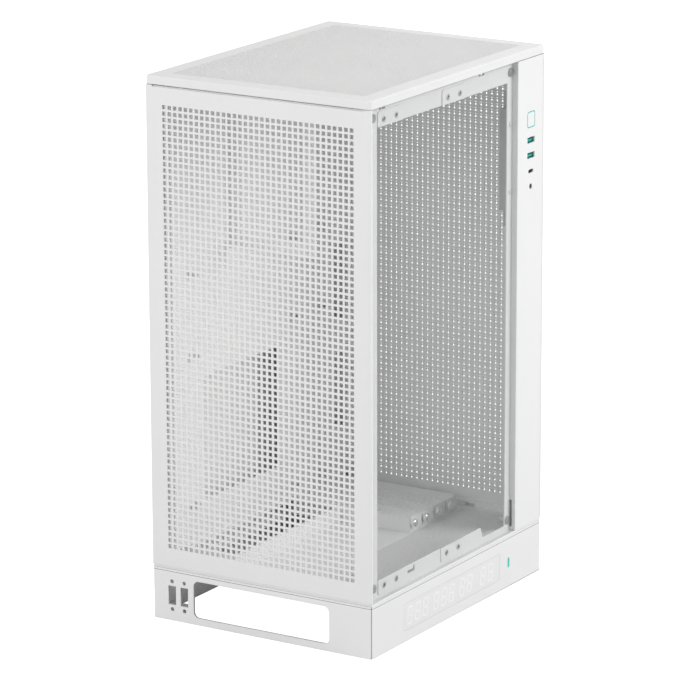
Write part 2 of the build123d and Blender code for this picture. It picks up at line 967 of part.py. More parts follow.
def io_column():
    y0 = column_y
    y1 = end - front_hem - column_gap
    x0 = frame_face
    z0 = panel_low
    z1 = panel_high
    column = block(side - column_wall, side, y0, y1, z0, z1)
    column += block(x0, side - column_wall, y0, y0 + column_wall, z0, z1)
    column += block(x0, side - column_wall, y1 - column_wall, y1, z0, z1)
    pull_z = z0 + pull_rise
    column -= block(x0, x0 + pull_width, y0, y0 + column_wall, pull_z, pull_z + pull_height)
    ring_y = button_width + 2 * ring_width + 2 * flush
    ring_z = button_height + 2 * ring_width + 2 * flush
    wall = (side - column_wall, side)
    column -= rounded_x(*wall, port_y, button_z, ring_y, ring_z, button_corner + ring_width)
    for z in usb_a_z:
        column -= rounded_x(*wall, port_y, z, usb_a_width, usb_a_height, usb_corner)
    column -= rounded_x(*wall, port_y, usb_c_z, usb_c_width, usb_c_height, usb_c_corner)
    return column - rod_x(*wall, port_y, jack_z, jack_radius - jack_mouth)


def io_housing():
    x1 = frame_inner
    x0 = x1 - housing_deep
    half = housing_width / 2
    case = block(x0, x1, port_y - half, port_y + half, housing_low, housing_high)
    inner = half - housing_wall
    case -= block(x0 + housing_wall, x1, port_y - inner, port_y + inner,
                  housing_low + housing_wall, housing_high - housing_wall)
    # Ears above and below, and two tabs behind the rail for its screws
    ear_y = port_y - half + housing_ear_inset
    for z0 in (housing_low - housing_ear, housing_high):
        case += block(x0 + housing_wall, x1, ear_y, ear_y + housing_ear_thick, z0, z0 + housing_ear)
    tab_x = x1 - housing_tab_thick
    for z in rail_screw_z:
        tab = block(tab_x, x1, opening_front_y + housing_tab_gap, port_y - half,
                    z - housing_tab / 2, z + housing_tab / 2)
        case += tab - rod_x(tab_x, x1, opening_front_y + rail_screw_inset, z, screw_radius)
    return case


def rail_screws():
    screws = []
    y = opening_front_y + rail_screw_inset
    for z in rail_screw_z:
        screw = rod_x(frame_face, frame_face + rail_screw_head, y, z, rail_screw_head_radius)
        screw += rod_x(frame_face - rail_screw_length, frame_face, y, z, screw_radius - flush)
        screws.append(screw)
    return screws


def board_face_x():
    return frame_inner - housing_deep + housing_wall + io_peg_length + board_thick


def io_board():
    gap = housing_wall + io_board_gap
    half = housing_width / 2 - gap
    x1 = board_face_x()
    x0 = x1 - board_thick
    board = block(x0, x1, port_y - half, port_y + half, housing_low + gap, housing_high - gap)
    for sy in (-1, 1):
        for z in (housing_low + io_peg_end, housing_high - io_peg_end):
            y = port_y + sy * (half - io_peg_inset)
            board += rod_x(x0 - io_peg_length, x0, y, z, io_peg_radius)
    return board


def usb_a_shells():
    shells = []
    span = (board_face_x(), side - column_wall)
    outer_y = usb_a_width + 2 * usb_shell
    outer_z = usb_a_height + 2 * usb_shell
    for z in usb_a_z:
        shell = rounded_x(*span, port_y, z, outer_y, outer_z, usb_corner + usb_shell)
        shells.append(shell - rounded_x(*span, port_y, z, usb_a_width, usb_a_height, usb_corner))
    return shells


def usb_a_tongues():
    tongues = []
    x0 = board_face_x()
    size_y = usb_a_width - 2 * flush
    size_z = usb_a_height - 2 * flush
    half = size_y / 2 - usb_tongue_inset
    low, high = usb_tongue_span
    for z in usb_a_z:
        back = rounded_x(x0, x0 + usb_back, port_y, z, size_y, size_z, usb_corner)
        back += block(x0 + usb_back, side - usb_tongue_recess, port_y - half, port_y + half,
                      z + low, z + high)
        tongues.append(back)
    return tongues


def usb_c_shell():
    outer_y = usb_c_width + 2 * usb_shell
    outer_z = usb_c_height + 2 * usb_shell
    span = (board_face_x(), side - column_wall)
    shell = rounded_x(*span, port_y, usb_c_z, outer_y, outer_z, usb_c_corner + usb_shell)
    return shell - rounded_x(*span, port_y, usb_c_z, usb_c_width, usb_c_height, usb_c_corner)


def usb_c_tongue():
    x0 = board_face_x()
    x1 = x0 + usb_back
    half_y = usb_c_tongue_width / 2
    half_z = usb_c_tongue_thick / 2
    back = rounded_x(x0, x1, port_y, usb_c_z, usb_c_width - 2 * flush,
                     usb_c_height - 2 * flush, usb_c_corner - flush)
    return back + block(x1, side - usb_c_tongue_recess, port_y - half_y, port_y + half_y,
                        usb_c_z - half_z, usb_c_z + half_z)


def audio_jack():
    x0 = board_face_x()
    x1 = side - column_wall
    barrel = rod_x(x0, x1, port_y, jack_z, jack_radius)
    return barrel - rod_x(x1 - jack_depth, x1, port_y, jack_z, jack_bore)


def button_ring():
    outer = rounded_x(side - column_wall, side, port_y, button_z, button_width + 2 * ring_width,
                      button_height + 2 * ring_width, button_corner + ring_width - flush)
    inner = rounded_x(side - column_wall, side, port_y, button_z, button_width + 2 * flush,
                      button_height + 2 * flush, button_corner + flush)
    return outer - inner


def power_button():
    back = side - button_deep
    cap = rounded_x(back, side, port_y, button_z, button_width, button_height, button_corner)
    # A skirt behind the wall keeps the cap in
    cap += rounded_x(back, side - column_wall - running, port_y, button_z,
                     button_width + 2 * button_skirt, button_height + 2 * button_skirt, button_corner)
    return cap + rod_x(switch_face() + running, back, port_y, button_z, button_stem_radius)


def switch_face():
    return side - button_deep - button_stem


def power_switch():
    # The tactile switch on its riser stops just short of the pressed button's stem
    half = switch_size / 2
    return block(board_face_x(), switch_face() - button_travel,
                 port_y - half, port_y + half, button_z - half, button_z + half)


os.makedirs("parts", exist_ok=True)
write("base_skirt", base_skirt())
write("foot_pads", *foot_pads())
write("display_window", display_window())
write("display_digits", *display_digits())
write("display_board", display_board())
write("status_mark", status_mark())
write("floor_pan", floor_pan())
write("post_rear_left", rear_post())
write("post_rear_right", mirror_x(rear_post()))
write("post_front_left", front_left_post())
write("post_front_right", front_right_post())
write("rail_top_left", top_left_rail())
write("rail_top_right", top_right_rail())
write("rail_top_rear", top_rear_rail())
write("rail_top_front", top_front_rail())
write("rail_bottom_left", bottom_left_rail())
write("rail_bottom_right", bottom_right_rail())
write("rail_bottom_rear", bottom_rear_rail())
write("rail_bottom_front", bottom_front_rail())
write("rail_plates", *rail_plates())
write("plate_rivets", *plate_rivets())
write("glass_panel", glass_panel())
write("glass_studs", *stud_group(glass_inner, glass_places()))
write("glass_catches", *catch_group(glass_places()))
write("top_lid", top_lid())
write("lid_pegs", *lid_pegs())
write("rear_panel", rear_panel())
write("rear_clips", *end_clips(-end + sheet, rear_frame, 1))
write("front_panel", front_panel())
write("front_clips", *end_clips(end - sheet, front_frame + sheet, -1))
write("front_grille", front_grille())
write("right_panel", right_panel())
write("right_studs", *right_studs())
write("right_catches", *right_catches())
write("motherboard_tray", motherboard_tray())
write("board_standoffs", *board_standoffs())
write("supply_bracket", supply_bracket())
write("connector_deck", connector_deck())
write("slot_frame", slot_frame())
for number in range(slot_count):
    write(f"slot_cover_{number + 1}", slot_cover(number, number < slot_count - 1))
    write(f"thumbscrew_{number + 1}", thumbscrew(number))
write("io_column", io_column())
write("io_housing", io_housing())
write("io_board", io_board())
write("rail_screws", *rail_screws())
write("usb_a_shells", *usb_a_shells())
write("usb_a_tongues", *usb_a_tongues())
write("usb_c_shell", usb_c_shell())
write("usb_c_tongue", usb_c_tongue())
write("audio_jack", audio_jack())
write("button_ring", button_ring())
write("power_button", power_button())
write("power_switch", power_switch())
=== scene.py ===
import json
import math

import bmesh
import bpy
from mathutils import Matrix, Vector


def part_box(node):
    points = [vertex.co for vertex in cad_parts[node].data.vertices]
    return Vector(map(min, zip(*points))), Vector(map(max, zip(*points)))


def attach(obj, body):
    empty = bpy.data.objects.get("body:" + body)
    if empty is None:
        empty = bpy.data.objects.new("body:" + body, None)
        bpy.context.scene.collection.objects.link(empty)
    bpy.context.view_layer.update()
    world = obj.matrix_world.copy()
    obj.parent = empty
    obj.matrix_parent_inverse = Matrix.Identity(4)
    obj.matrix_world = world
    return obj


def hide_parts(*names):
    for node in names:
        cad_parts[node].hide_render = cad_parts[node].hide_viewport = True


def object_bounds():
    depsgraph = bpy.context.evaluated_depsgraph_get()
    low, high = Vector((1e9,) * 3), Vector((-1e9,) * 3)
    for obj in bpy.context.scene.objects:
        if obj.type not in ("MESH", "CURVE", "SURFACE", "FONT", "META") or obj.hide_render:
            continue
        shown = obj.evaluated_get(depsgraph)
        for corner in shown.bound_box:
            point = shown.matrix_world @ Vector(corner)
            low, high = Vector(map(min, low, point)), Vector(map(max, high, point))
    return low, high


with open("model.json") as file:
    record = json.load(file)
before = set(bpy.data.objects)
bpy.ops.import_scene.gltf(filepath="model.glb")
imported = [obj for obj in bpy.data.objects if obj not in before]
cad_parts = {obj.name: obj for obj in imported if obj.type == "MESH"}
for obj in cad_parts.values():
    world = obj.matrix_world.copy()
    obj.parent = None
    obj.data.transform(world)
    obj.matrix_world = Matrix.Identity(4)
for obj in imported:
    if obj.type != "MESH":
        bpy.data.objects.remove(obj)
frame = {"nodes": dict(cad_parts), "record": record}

cadLow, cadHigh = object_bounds()
nodes = frame["nodes"]
mm = 0.001
tiny = 0.00001
sliver = 0.01 * mm * mm


# ---- places read from the frame ----

class Place:
    # The box of a CAD node, with its sizes
    def __init__(self, node):
        self.low, self.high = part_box(node)
        self.size = self.high - self.low
        self.middle = (self.low + self.high) / 2


case = Place("base_skirt")
lid = Place("top_lid")
rear = Place("rear_panel")
front = Place("front_panel")
grille = Place("front_grille")
window = Place("display_window")
print("frame read:", len(nodes), "nodes")


# ---- shader helpers ----

class Shader:
    # A small builder: nodes by type, links by socket name
    def __init__(self, tree):
        self.tree = tree

    def add(self, kind, **settings):
        node = self.tree.nodes.new(kind)
        for name, value in settings.items():
            setattr(node, name, value)
        return node

    def feed(self, value, target, socket):
        self.tree.links.new(value, target.inputs[socket])

    def join(self, source, output, target, socket):
        self.feed(source.outputs[output], target, socket)

    def maths(self, operation, first, second=None):
        node = self.add("ShaderNodeMath", operation=operation)
        for index, value in enumerate((first, second)):
            if value is None:
                continue
            if isinstance(value, (int, float)):
                node.inputs[index].default_value = value
            else:
                self.feed(value, node, index)
        return node.outputs[0]

    def blend(self, factor, first, second):
        # Mixes two colours, each a socket or a plain colour
        node = self.add("ShaderNodeMix", data_type="RGBA")
        for index, value in ((0, factor), (6, first), (7, second)):
            if isinstance(value, (int, float)):
                node.inputs[index].default_value = value
            elif isinstance(value, (tuple, list)):
                node.inputs[index].default_value = (*value[:3], 1.0)
            else:
                self.feed(value, node, index)
        return node.outputs[2]


def newGroup(name, inputs, outputs):
    tree = bpy.data.node_groups.new(name, "ShaderNodeTree")
    for label, value in inputs:
        socket = tree.interface.new_socket(label, in_out="INPUT", socket_type="NodeSocketFloat")
        socket.default_value = value
    for label, kind in outputs:
        tree.interface.new_socket(label, in_out="OUTPUT", socket_type=kind)
    shader = Shader(tree)
    return shader, shader.add("NodeGroupInput"), shader.add("NodeGroupOutput")


grainLook = {"detail": 3.0, "roughness": 0.6, "patchDetail": 2.0}
edgeLook = {"samples": 4, "gain": 4.0}
dustLook = {"scale": 35.0, "detail": 5.0}


def buildGrainGroup():
    # Fine grain for bumps and broad soft patches for colour, both in the piece's own space
    shader, given, result = newGroup(
        "surfaceGrain",
        [("Grain Size", 0.4), ("Patch Size", 60.0), ("Streaks", 0.0)],
        [("Grain", "NodeSocketFloat"), ("Patches", "NodeSocketFloat")],
    )
    place = shader.add("ShaderNodeTexCoord")
    stretch = shader.add("ShaderNodeVectorMath", operation="MULTIPLY")
    squeeze = shader.add("ShaderNodeCombineXYZ")
    shader.feed(shader.maths("SUBTRACT", 1.0, given.outputs["Streaks"]), squeeze, "Z")
    squeeze.inputs["X"].default_value = 1.0
    squeeze.inputs["Y"].default_value = 1.0
    shader.join(place, "Object", stretch, 0)
    shader.join(squeeze, "Vector", stretch, 1)
    fine = shader.add("ShaderNodeTexNoise")
    fine.inputs["Detail"].default_value = grainLook["detail"]
    fine.inputs["Roughness"].default_value = grainLook["roughness"]
    shader.join(stretch, "Vector", fine, "Vector")
    shader.feed(shader.maths("DIVIDE", 1 / mm, given.outputs["Grain Size"]), fine, "Scale")
    broad = shader.add("ShaderNodeTexNoise")
    broad.inputs["Detail"].default_value = grainLook["patchDetail"]
    shader.join(place, "Object", broad, "Vector")
    shader.feed(shader.maths("DIVIDE", 1 / mm, given.outputs["Patch Size"]), broad, "Scale")
    shader.join(fine, "Fac", result, "Grain")
    shader.join(broad, "Fac", result, "Patches")
    return shader.tree


def buildEdgeGroup():
    # Softened normal at sharp edges, and a mask that is 1 on the edges
    shader, given, result = newGroup(
        "edgeSoften",
        [("Radius", 0.0004)],
        [("Normal", "NodeSocketVector"), ("Edges", "NodeSocketFloat")],
    )
    bevel = shader.add("ShaderNodeBevel", samples=edgeLook["samples"])
    shader.join(given, "Radius", bevel, "Radius")
    surface = shader.add("ShaderNodeNewGeometry")
    angle = shader.add("ShaderNodeVectorMath", operation="DOT_PRODUCT")
    shader.join(bevel, "Normal", angle, 0)
    shader.join(surface, "Normal", angle, 1)
    turned = shader.maths("SUBTRACT", 1.0, angle.outputs["Value"])
    mask = shader.maths("MINIMUM", shader.maths("MULTIPLY", turned, edgeLook["gain"]), 1.0)
    shader.feed(mask, result, "Edges")
    shader.join(bevel, "Normal", result, "Normal")
    return shader.tree


def buildDustGroup():
    # A thin uneven film on the faces that look up
    shader, given, result = newGroup("settledDust", [("Amount", 0.1)], [("Dust", "NodeSocketFloat")])
    place = shader.add("ShaderNodeTexCoord")
    surface = shader.add("ShaderNodeNewGeometry")
    parts = shader.add("ShaderNodeSeparateXYZ")
    shader.join(surface, "Normal", parts, "Vector")
    cloud = shader.add("ShaderNodeTexNoise")
    cloud.inputs["Scale"].default_value = dustLook["scale"]
    cloud.inputs["Detail"].default_value = dustLook["detail"]
    shader.join(place, "Object", cloud, "Vector")
    upward = shader.maths("MAXIMUM", parts.outputs["Z"], 0.0)
    film = shader.maths("MULTIPLY", upward, cloud.outputs["Fac"])
    shader.feed(shader.maths("MULTIPLY", film, given.outputs["Amount"]), result, "Dust")
    return shader.tree


grainGroup = buildGrainGroup()
edgeGroup = buildEdgeGroup()
dustGroup = buildDustGroup()


# What a finish has unless its own look says otherwise; lengths are in millimetres
plainLook = {"metal": 0.0, "ior": 1.5, "coat": 0.0, "coatRoughness": 0.1, "glow": 0.0, "grainSize": 0.5,
             "patchSize": 60.0, "patchDepth": 0.04, "streaks": 0.0, "edgeRadius": 0.4, "edgeHighlight": 0.15,
             "dust": 0.12, "dustColor": (0.62, 0.61, 0.59), "roughSpread": 0.08, "bump": 0.3,
             "bumpDepth": 0.03}


def makeFinish(name, ownLook):
    # One material from a look: colour, roughness and how strongly each shared effect shows
    look = {**plainLook, "edgeHighlightColor": ownLook["color"], **ownLook}
    material = bpy.data.materials.new(name)
    material.use_nodes = True
    tree = material.node_tree
    tree.nodes.clear()
    shader = Shader(tree)
    surface = shader.add("ShaderNodeBsdfPrincipled")
    output = shader.add("ShaderNodeOutputMaterial")
    shader.join(surface, "BSDF", output, "Surface")
    surface.inputs["Metallic"].default_value = look["metal"]
    surface.inputs["IOR"].default_value = look["ior"]
    surface.inputs["Coat Weight"].default_value = look["coat"]
    surface.inputs["Coat Roughness"].default_value = look["coatRoughness"]
    # Emission is painted light: a finish with a glow gives off light of its own though it is no lamp
    surface.inputs["Emission Color"].default_value = (1.0, 1.0, 1.0, 1.0)
    surface.inputs["Emission Strength"].default_value = look["glow"]

    grain = shader.add("ShaderNodeGroup", node_tree=grainGroup)
    grain.inputs["Grain Size"].default_value = look["grainSize"]
    grain.inputs["Patch Size"].default_value = look["patchSize"]
    grain.inputs["Streaks"].default_value = look["streaks"]
    edge = shader.add("ShaderNodeGroup", node_tree=edgeGroup)
    edge.inputs["Radius"].default_value = look["edgeRadius"] * mm
    dust = shader.add("ShaderNodeGroup", node_tree=dustGroup)
    dust.inputs["Amount"].default_value = look["dust"]

    dark = [channel * (1.0 - look["patchDepth"]) for channel in look["color"]]
    colour = shader.blend(grain.outputs["Patches"], dark, look["color"])
    if "seam" in look:
        # A thin painted shadow line at one height and another along one depth, which shows beside each
        # rear corner
        seam = look["seam"]
        spot = shader.add("ShaderNodeTexCoord")
        parts = shader.add("ShaderNodeSeparateXYZ")
        shader.join(spot, "Object", parts, "Vector")
        away = shader.maths("ABSOLUTE", shader.maths("SUBTRACT", parts.outputs["Z"], seam["height"]))
        beside = shader.maths("ABSOLUTE", shader.maths("SUBTRACT", parts.outputs["Y"], seam["corner"]))
        shadowLine = shader.maths("LESS_THAN", shader.maths("MINIMUM", away, beside), seam["width"] / 2)
        colour = shader.blend(shadowLine, colour, seam["color"])
    # Painted highlight: on sharp edges the colour is drawn towards a lighter edge colour, as if the edges
    # catch the light
    edgeLit = shader.maths("MULTIPLY", edge.outputs["Edges"], look["edgeHighlight"])
    colour = shader.blend(edgeLit, colour, look["edgeHighlightColor"])
    colour = shader.blend(dust.outputs["Dust"], colour, look["dustColor"])
    shader.feed(colour, surface, "Base Color")

    spread = shader.maths("MULTIPLY", grain.outputs["Grain"], look["roughSpread"])
    rough = shader.maths("ADD", spread, look["rough"] - look["roughSpread"] / 2)
    rough = shader.maths("ADD", rough, dust.outputs["Dust"])
    shader.feed(rough, surface, "Roughness")

    bump = shader.add("ShaderNodeBump")
    bump.inputs["Strength"].default_value = look["bump"]
    bump.inputs["Distance"].default_value = look["bumpDepth"] * mm
    shader.join(grain, "Grain", bump, "Height")
    shader.join(edge, "Normal", bump, "Normal")
    shader.join(bump, "Normal", surface, "Normal")
    return material


looks = {
    "white_steel": {"color": (0.84, 0.84, 0.84), "rough": 0.42, "grainSize": 0.55, "bump": 0.35,
                    "bumpDepth": 0.04, "edgeHighlightColor": (0.92, 0.92, 0.92), "edgeHighlight": 0.35},
    "white_plastic": {"color": (0.86, 0.86, 0.86), "rough": 0.38, "grainSize": 0.3, "bump": 0.25,
                      "edgeHighlightColor": (0.92, 0.92, 0.92), "edgeHighlight": 0.3},
    "grey_plastic": {"color": (0.52, 0.52, 0.52), "rough": 0.48, "grainSize": 0.35, "bump": 0.4},
    "display_white": {"color": (0.85, 0.85, 0.85), "rough": 0.28, "grainSize": 0.25, "bump": 0.1,
                      "coat": 0.2},
    # The light guides carry a faint painted glow, so the unlit figures read a little whiter than the
    # panel round them
    "light_guide": {"color": (0.96, 0.96, 0.97), "rough": 0.2, "grainSize": 0.3, "bump": 0.1,
                    "coat": 0.3, "glow": 0.05, "dust": 0.0, "patchDepth": 0.0},
    "circuit_board": {"color": (0.02, 0.12, 0.05), "rough": 0.35, "grainSize": 1.2, "bump": 0.5,
                      "patchDepth": 0.35, "patchSize": 6.0},
    "teal_plastic": {"color": (0.02, 0.42, 0.36), "rough": 0.25, "grainSize": 0.3, "bump": 0.15,
                     "edgeHighlightColor": (0.05, 0.55, 0.48), "edgeHighlight": 0.5, "coat": 0.3},
    "rubber_grey": {"color": (0.10, 0.10, 0.10), "rough": 0.75, "grainSize": 0.5, "bump": 0.6},
    "zinc_steel": {"color": (0.62, 0.62, 0.63), "rough": 0.32, "metal": 1.0, "grainSize": 0.35,
                   "streaks": 0.9, "bump": 0.2},
    "white_screw": {"color": (0.74, 0.74, 0.74), "rough": 0.4, "grainSize": 0.4, "bump": 0.3},
    "chrome_screw": {"color": (0.90, 0.90, 0.91), "rough": 0.18, "metal": 1.0, "grainSize": 0.4,
                     "bump": 0.1, "edgeRadius": 0.15, "roughSpread": 0.05},
    "clip_plastic": {"color": (0.60, 0.60, 0.59), "rough": 0.5, "grainSize": 0.4, "bump": 0.3},
    "connector_steel": {"color": (0.62, 0.63, 0.63), "rough": 0.3, "metal": 1.0, "grainSize": 0.3,
                        "streaks": 0.9, "bump": 0.2, "edgeRadius": 0.1},
    "black_plastic": {"color": (0.02, 0.02, 0.02), "rough": 0.4, "grainSize": 0.3, "bump": 0.3},
}


def makeGlass(name, look):
    # Clear to look through, a little more solid at a glancing angle and at the cut edges
    material = bpy.data.materials.new(name)
    material.use_nodes = True
    tree = material.node_tree
    tree.nodes.clear()
    shader = Shader(tree)
    surface = shader.add("ShaderNodeBsdfPrincipled")
    output = shader.add("ShaderNodeOutputMaterial")
    shader.join(surface, "BSDF", output, "Surface")
    surface.inputs["IOR"].default_value = look["ior"]
    glance = shader.add("ShaderNodeFresnel")
    glance.inputs["IOR"].default_value = look["glanceIor"]
    geometry = shader.add("ShaderNodeNewGeometry")
    parts = shader.add("ShaderNodeSeparateXYZ")
    shader.join(geometry, "Normal", parts, "Vector")
    flat = shader.maths("ABSOLUTE", parts.outputs["X"])
    rim = shader.maths("LESS_THAN", flat, look["rimFacing"])
    grain = shader.add("ShaderNodeGroup", node_tree=grainGroup)
    grain.inputs["Grain Size"].default_value = look["smearSize"]
    grain.inputs["Patch Size"].default_value = look["patchSize"]
    shader.feed(shader.blend(rim, look["color"], look["rimColor"]), surface, "Base Color")
    sheen = shader.maths("MULTIPLY", glance.outputs["Fac"], look["glance"])
    edge = shader.maths("MULTIPLY", rim, look["rimBody"])
    body = shader.maths("ADD", shader.maths("ADD", sheen, look["body"]), edge)
    shader.feed(body, surface, "Alpha")
    smear = shader.maths("MULTIPLY", grain.outputs["Patches"], look["smear"])
    shader.feed(shader.maths("ADD", smear, look["rough"]), surface, "Roughness")
    return material


glassLook = {"color": (0.30, 0.33, 0.32), "rimColor": (0.60, 0.66, 0.64), "body": 0.006,
             "glance": 0.14, "rimBody": 0.12, "rough": 0.02, "smear": 0.05, "smearSize": 3.0,
             "patchSize": 90.0, "ior": 1.5, "glanceIor": 1.45, "rimFacing": 0.7}

finishes = {name: makeFinish(name, look) for name, look in looks.items()}
finishes["clear_glass"] = makeGlass("clear_glass", glassLook)

# The base has a painted shadow line a little below its upper edge and one beside each rear corner; the
# ring round the button and the mark are a brighter teal
baseLook = dict(looks["white_plastic"])
baseLook["seam"] = {"height": case.high.z - 1.9 * mm, "corner": case.low.y + 0.9 * mm, "width": 0.4 * mm,
                    "color": (0.16, 0.16, 0.16)}
ringLook = dict(looks["teal_plastic"])
ringLook.update({"color": (0.05, 0.62, 0.58), "edgeHighlightColor": (0.15, 0.75, 0.70)})
special = {
    "base_skirt": makeFinish("base_plastic", baseLook),
    "button_ring": makeFinish("ring_plastic", ringLook),
}
special["status_mark"] = special["button_ring"]

for row in frame["record"]["subparts"]:
    finish = special.get(row["node"], finishes[row["material_slot"]])
    for holder in nodes[row["node"]].material_slots:
        holder.material = finish
print("finishes made:", len(finishes))


# ---- geometry node helpers ----

def newTree(name, inputs):
    tree = bpy.data.node_groups.new(name, "GeometryNodeTree")
    tree.interface.new_socket("Geometry", in_out="INPUT", socket_type="NodeSocketGeometry")
    for label, kind in inputs:
        tree.interface.new_socket(label, in_out="INPUT", socket_type="NodeSocket" + kind)
    tree.interface.new_socket("Geometry", in_out="OUTPUT", socket_type="NodeSocketGeometry")
    return Shader(tree)


def runTree(name, tree, values, start=None):
    # Puts the tree on a mesh, sets its named inputs and returns the finished plain mesh
    host = bpy.data.objects.new(name, start or bpy.data.meshes.new(name))
    bpy.context.scene.collection.objects.link(host)
    modifier = host.modifiers.new(name, "NODES")
    modifier.node_group = tree
    for item in tree.interface.items_tree:
        if item.item_type == "SOCKET" and item.in_out == "INPUT" and item.name in values:
            modifier[item.identifier] = values[item.name]
    mesh = bpy.data.meshes.new_from_object(host.evaluated_get(bpy.context.evaluated_depsgraph_get()))
    mesh.name = name
    bpy.data.objects.remove(host)
    return mesh


def buildPerforationTree():
    # A flat sheet with a grid of square holes and plain margins, as one joined surface
    shader = newTree("perforatedSheet", [
        ("Columns", "Int"), ("Rows", "Int"), ("Pitch", "Float"), ("Hole", "Float"),
        ("Width", "Float"), ("Height", "Float"), ("Shift", "Vector"), ("Material", "Material"),
    ])
    given = shader.add("NodeGroupInput")
    result = shader.add("NodeGroupOutput")
    maths = shader.maths
    pitch = given.outputs["Pitch"]

    # One cell: a square ring made by insetting a square and deleting its middle
    square = shader.add("GeometryNodeMeshCircle", fill_type="NGON")
    square.inputs["Vertices"].default_value = 4
    shader.feed(maths("MULTIPLY", pitch, math.sqrt(0.5)), square, "Radius")
    turn = shader.add("GeometryNodeTransform")
    turn.inputs["Rotation"].default_value = (0.0, 0.0, math.radians(45))
    shader.join(square, "Mesh", turn, "Geometry")
    inset = shader.add("GeometryNodeExtrudeMesh", mode="FACES")
    inset.inputs["Offset Scale"].default_value = 0.0
    inset.inputs["Individual"].default_value = False
    shader.join(turn, "Geometry", inset, "Mesh")
    shrink = shader.add("GeometryNodeScaleElements", domain="FACE")
    shader.join(inset, "Mesh", shrink, "Geometry")
    shader.join(inset, "Top", shrink, "Selection")
    shader.feed(maths("DIVIDE", given.outputs["Hole"], pitch), shrink, "Scale")
    ring = shader.add("GeometryNodeDeleteGeometry", domain="FACE")
    shader.join(shrink, "Geometry", ring, "Geometry")
    shader.join(inset, "Top", ring, "Selection")

    # The field of cells
    grid = shader.add("GeometryNodeMeshGrid")
    spanX = maths("MULTIPLY", maths("SUBTRACT", given.outputs["Columns"], 1.0), pitch)
    spanY = maths("MULTIPLY", maths("SUBTRACT", given.outputs["Rows"], 1.0), pitch)
    shader.feed(spanX, grid, "Size X")
    shader.feed(spanY, grid, "Size Y")
    shader.join(given, "Columns", grid, "Vertices X")
    shader.join(given, "Rows", grid, "Vertices Y")
    field = shader.add("GeometryNodeInstanceOnPoints")
    shader.join(grid, "Mesh", field, "Points")
    shader.join(ring, "Geometry", field, "Instance")
    solid = shader.add("GeometryNodeRealizeInstances")
    shader.join(field, "Instances", solid, "Geometry")
    welded = shader.add("GeometryNodeMergeByDistance")
    welded.inputs["Distance"].default_value = 2 * tiny
    shader.join(solid, "Geometry", welded, "Geometry")
    moved = shader.add("GeometryNodeSetPosition")
    shader.join(welded, "Geometry", moved, "Geometry")
    shader.join(given, "Shift", moved, "Offset")

    # Margins: the field's outer edges are drawn out to the sheet's own outline
    position = shader.add("GeometryNodeInputPosition")
    local = shader.add("ShaderNodeVectorMath", operation="SUBTRACT")
    shader.join(position, "Position", local, 0)
    shader.join(given, "Shift", local, 1)
    fromField = shader.add("ShaderNodeSeparateXYZ")
    shader.join(local, "Vector", fromField, "Vector")
    here = shader.add("ShaderNodeSeparateXYZ")
    shader.join(position, "Position", here, "Vector")
    outer = []
    targets = []
    for axis, span, size in (("X", spanX, "Width"), ("Y", spanY, "Height")):
        half = maths("MULTIPLY", maths("ADD", span, pitch), 0.5)
        offset = fromField.outputs[axis]
        onEdge = maths("GREATER_THAN", maths("ABSOLUTE", offset), maths("SUBTRACT", half, tiny))
        outer.append(onEdge)
        limit = maths("MULTIPLY", maths("SIGN", offset), maths("MULTIPLY", given.outputs[size], 0.5))
        step = maths("SUBTRACT", limit, here.outputs[axis])
        targets.append(maths("ADD", here.outputs[axis], maths("MULTIPLY", step, onEdge)))
    loose = shader.add("GeometryNodeInputMeshEdgeNeighbors")
    alone = maths("COMPARE", loose.outputs[0], 1.0)
    rim = maths("MULTIPLY", maths("MAXIMUM", outer[0], outer[1]), alone)
    margin = shader.add("GeometryNodeExtrudeMesh", mode="EDGES")
    margin.inputs["Offset Scale"].default_value = 0.0
    shader.join(moved, "Geometry", margin, "Mesh")
    shader.feed(rim, margin, "Selection")
    target = shader.add("ShaderNodeCombineXYZ")
    shader.feed(targets[0], target, "X")
    shader.feed(targets[1], target, "Y")
    drawn = shader.add("GeometryNodeSetPosition")
    shader.join(margin, "Mesh", drawn, "Geometry")
    shader.join(margin, "Top", drawn, "Selection")
    shader.join(target, "Vector", drawn, "Position")

    final = shader.add("GeometryNodeRealizeInstances")
    shader.join(drawn, "Geometry", final, "Geometry")
    painted = shader.add("GeometryNodeSetMaterial")
    shader.join(final, "Geometry", painted, "Geometry")
    shader.join(given, "Material", painted, "Material")
    shader.join(painted, "Geometry", result, "Geometry")
    return shader.tree


perforationTree = buildPerforationTree()


# ---- sheet metal helpers ----

def arcProfile(reach, bend, drop, steps=4):
    # The section of a folded edge: flat out, round the bend, then down
    profile = []
    if reach > bend + tiny:
        profile.append((reach - bend, 0.0))
    for step in range(1, steps + 1):
        angle = math.pi / 2 * step / steps
        profile.append((reach - bend + bend * math.sin(angle), bend - bend * math.cos(angle)))
    if drop > bend + tiny:
        profile.append((reach, drop))
    return profile


def sideLoop(bm, halfX, sign):
    found = [v for v in bm.verts if abs(v.co.x - sign * halfX) < tiny]
    return [(v, Vector((sign, 0.0, 0.0))) for v in sorted(found, key=lambda v: v.co.y)]


def outlineLoop(bm, halfX, halfY, fan):
    # The whole outline in order, with a fan of directions at each corner
    sides = []
    turns = ((0, halfX, 1, 1), (1, halfY, 1, -1), (0, halfX, -1, -1), (1, halfY, -1, 1))
    for axis, half, sign, order in turns:
        found = [v for v in bm.verts if abs(v.co[axis] - sign * half) < tiny]
        direction = Vector((0.0, 0.0, 0.0))
        direction[axis] = sign
        ordered = sorted(found, key=lambda v: v.co[1 - axis] * order)
        sides.append([(v, direction) for v in ordered])
    loop = []
    for index, side in enumerate(sides):
        loop += side
        corner = side[-1][0]
        start = math.radians(90 * index)
        for step in range(1, fan):
            angle = start + math.radians(90) * step / fan
            loop.append((corner, Vector((math.cos(angle), math.sin(angle), 0.0))))
    return loop


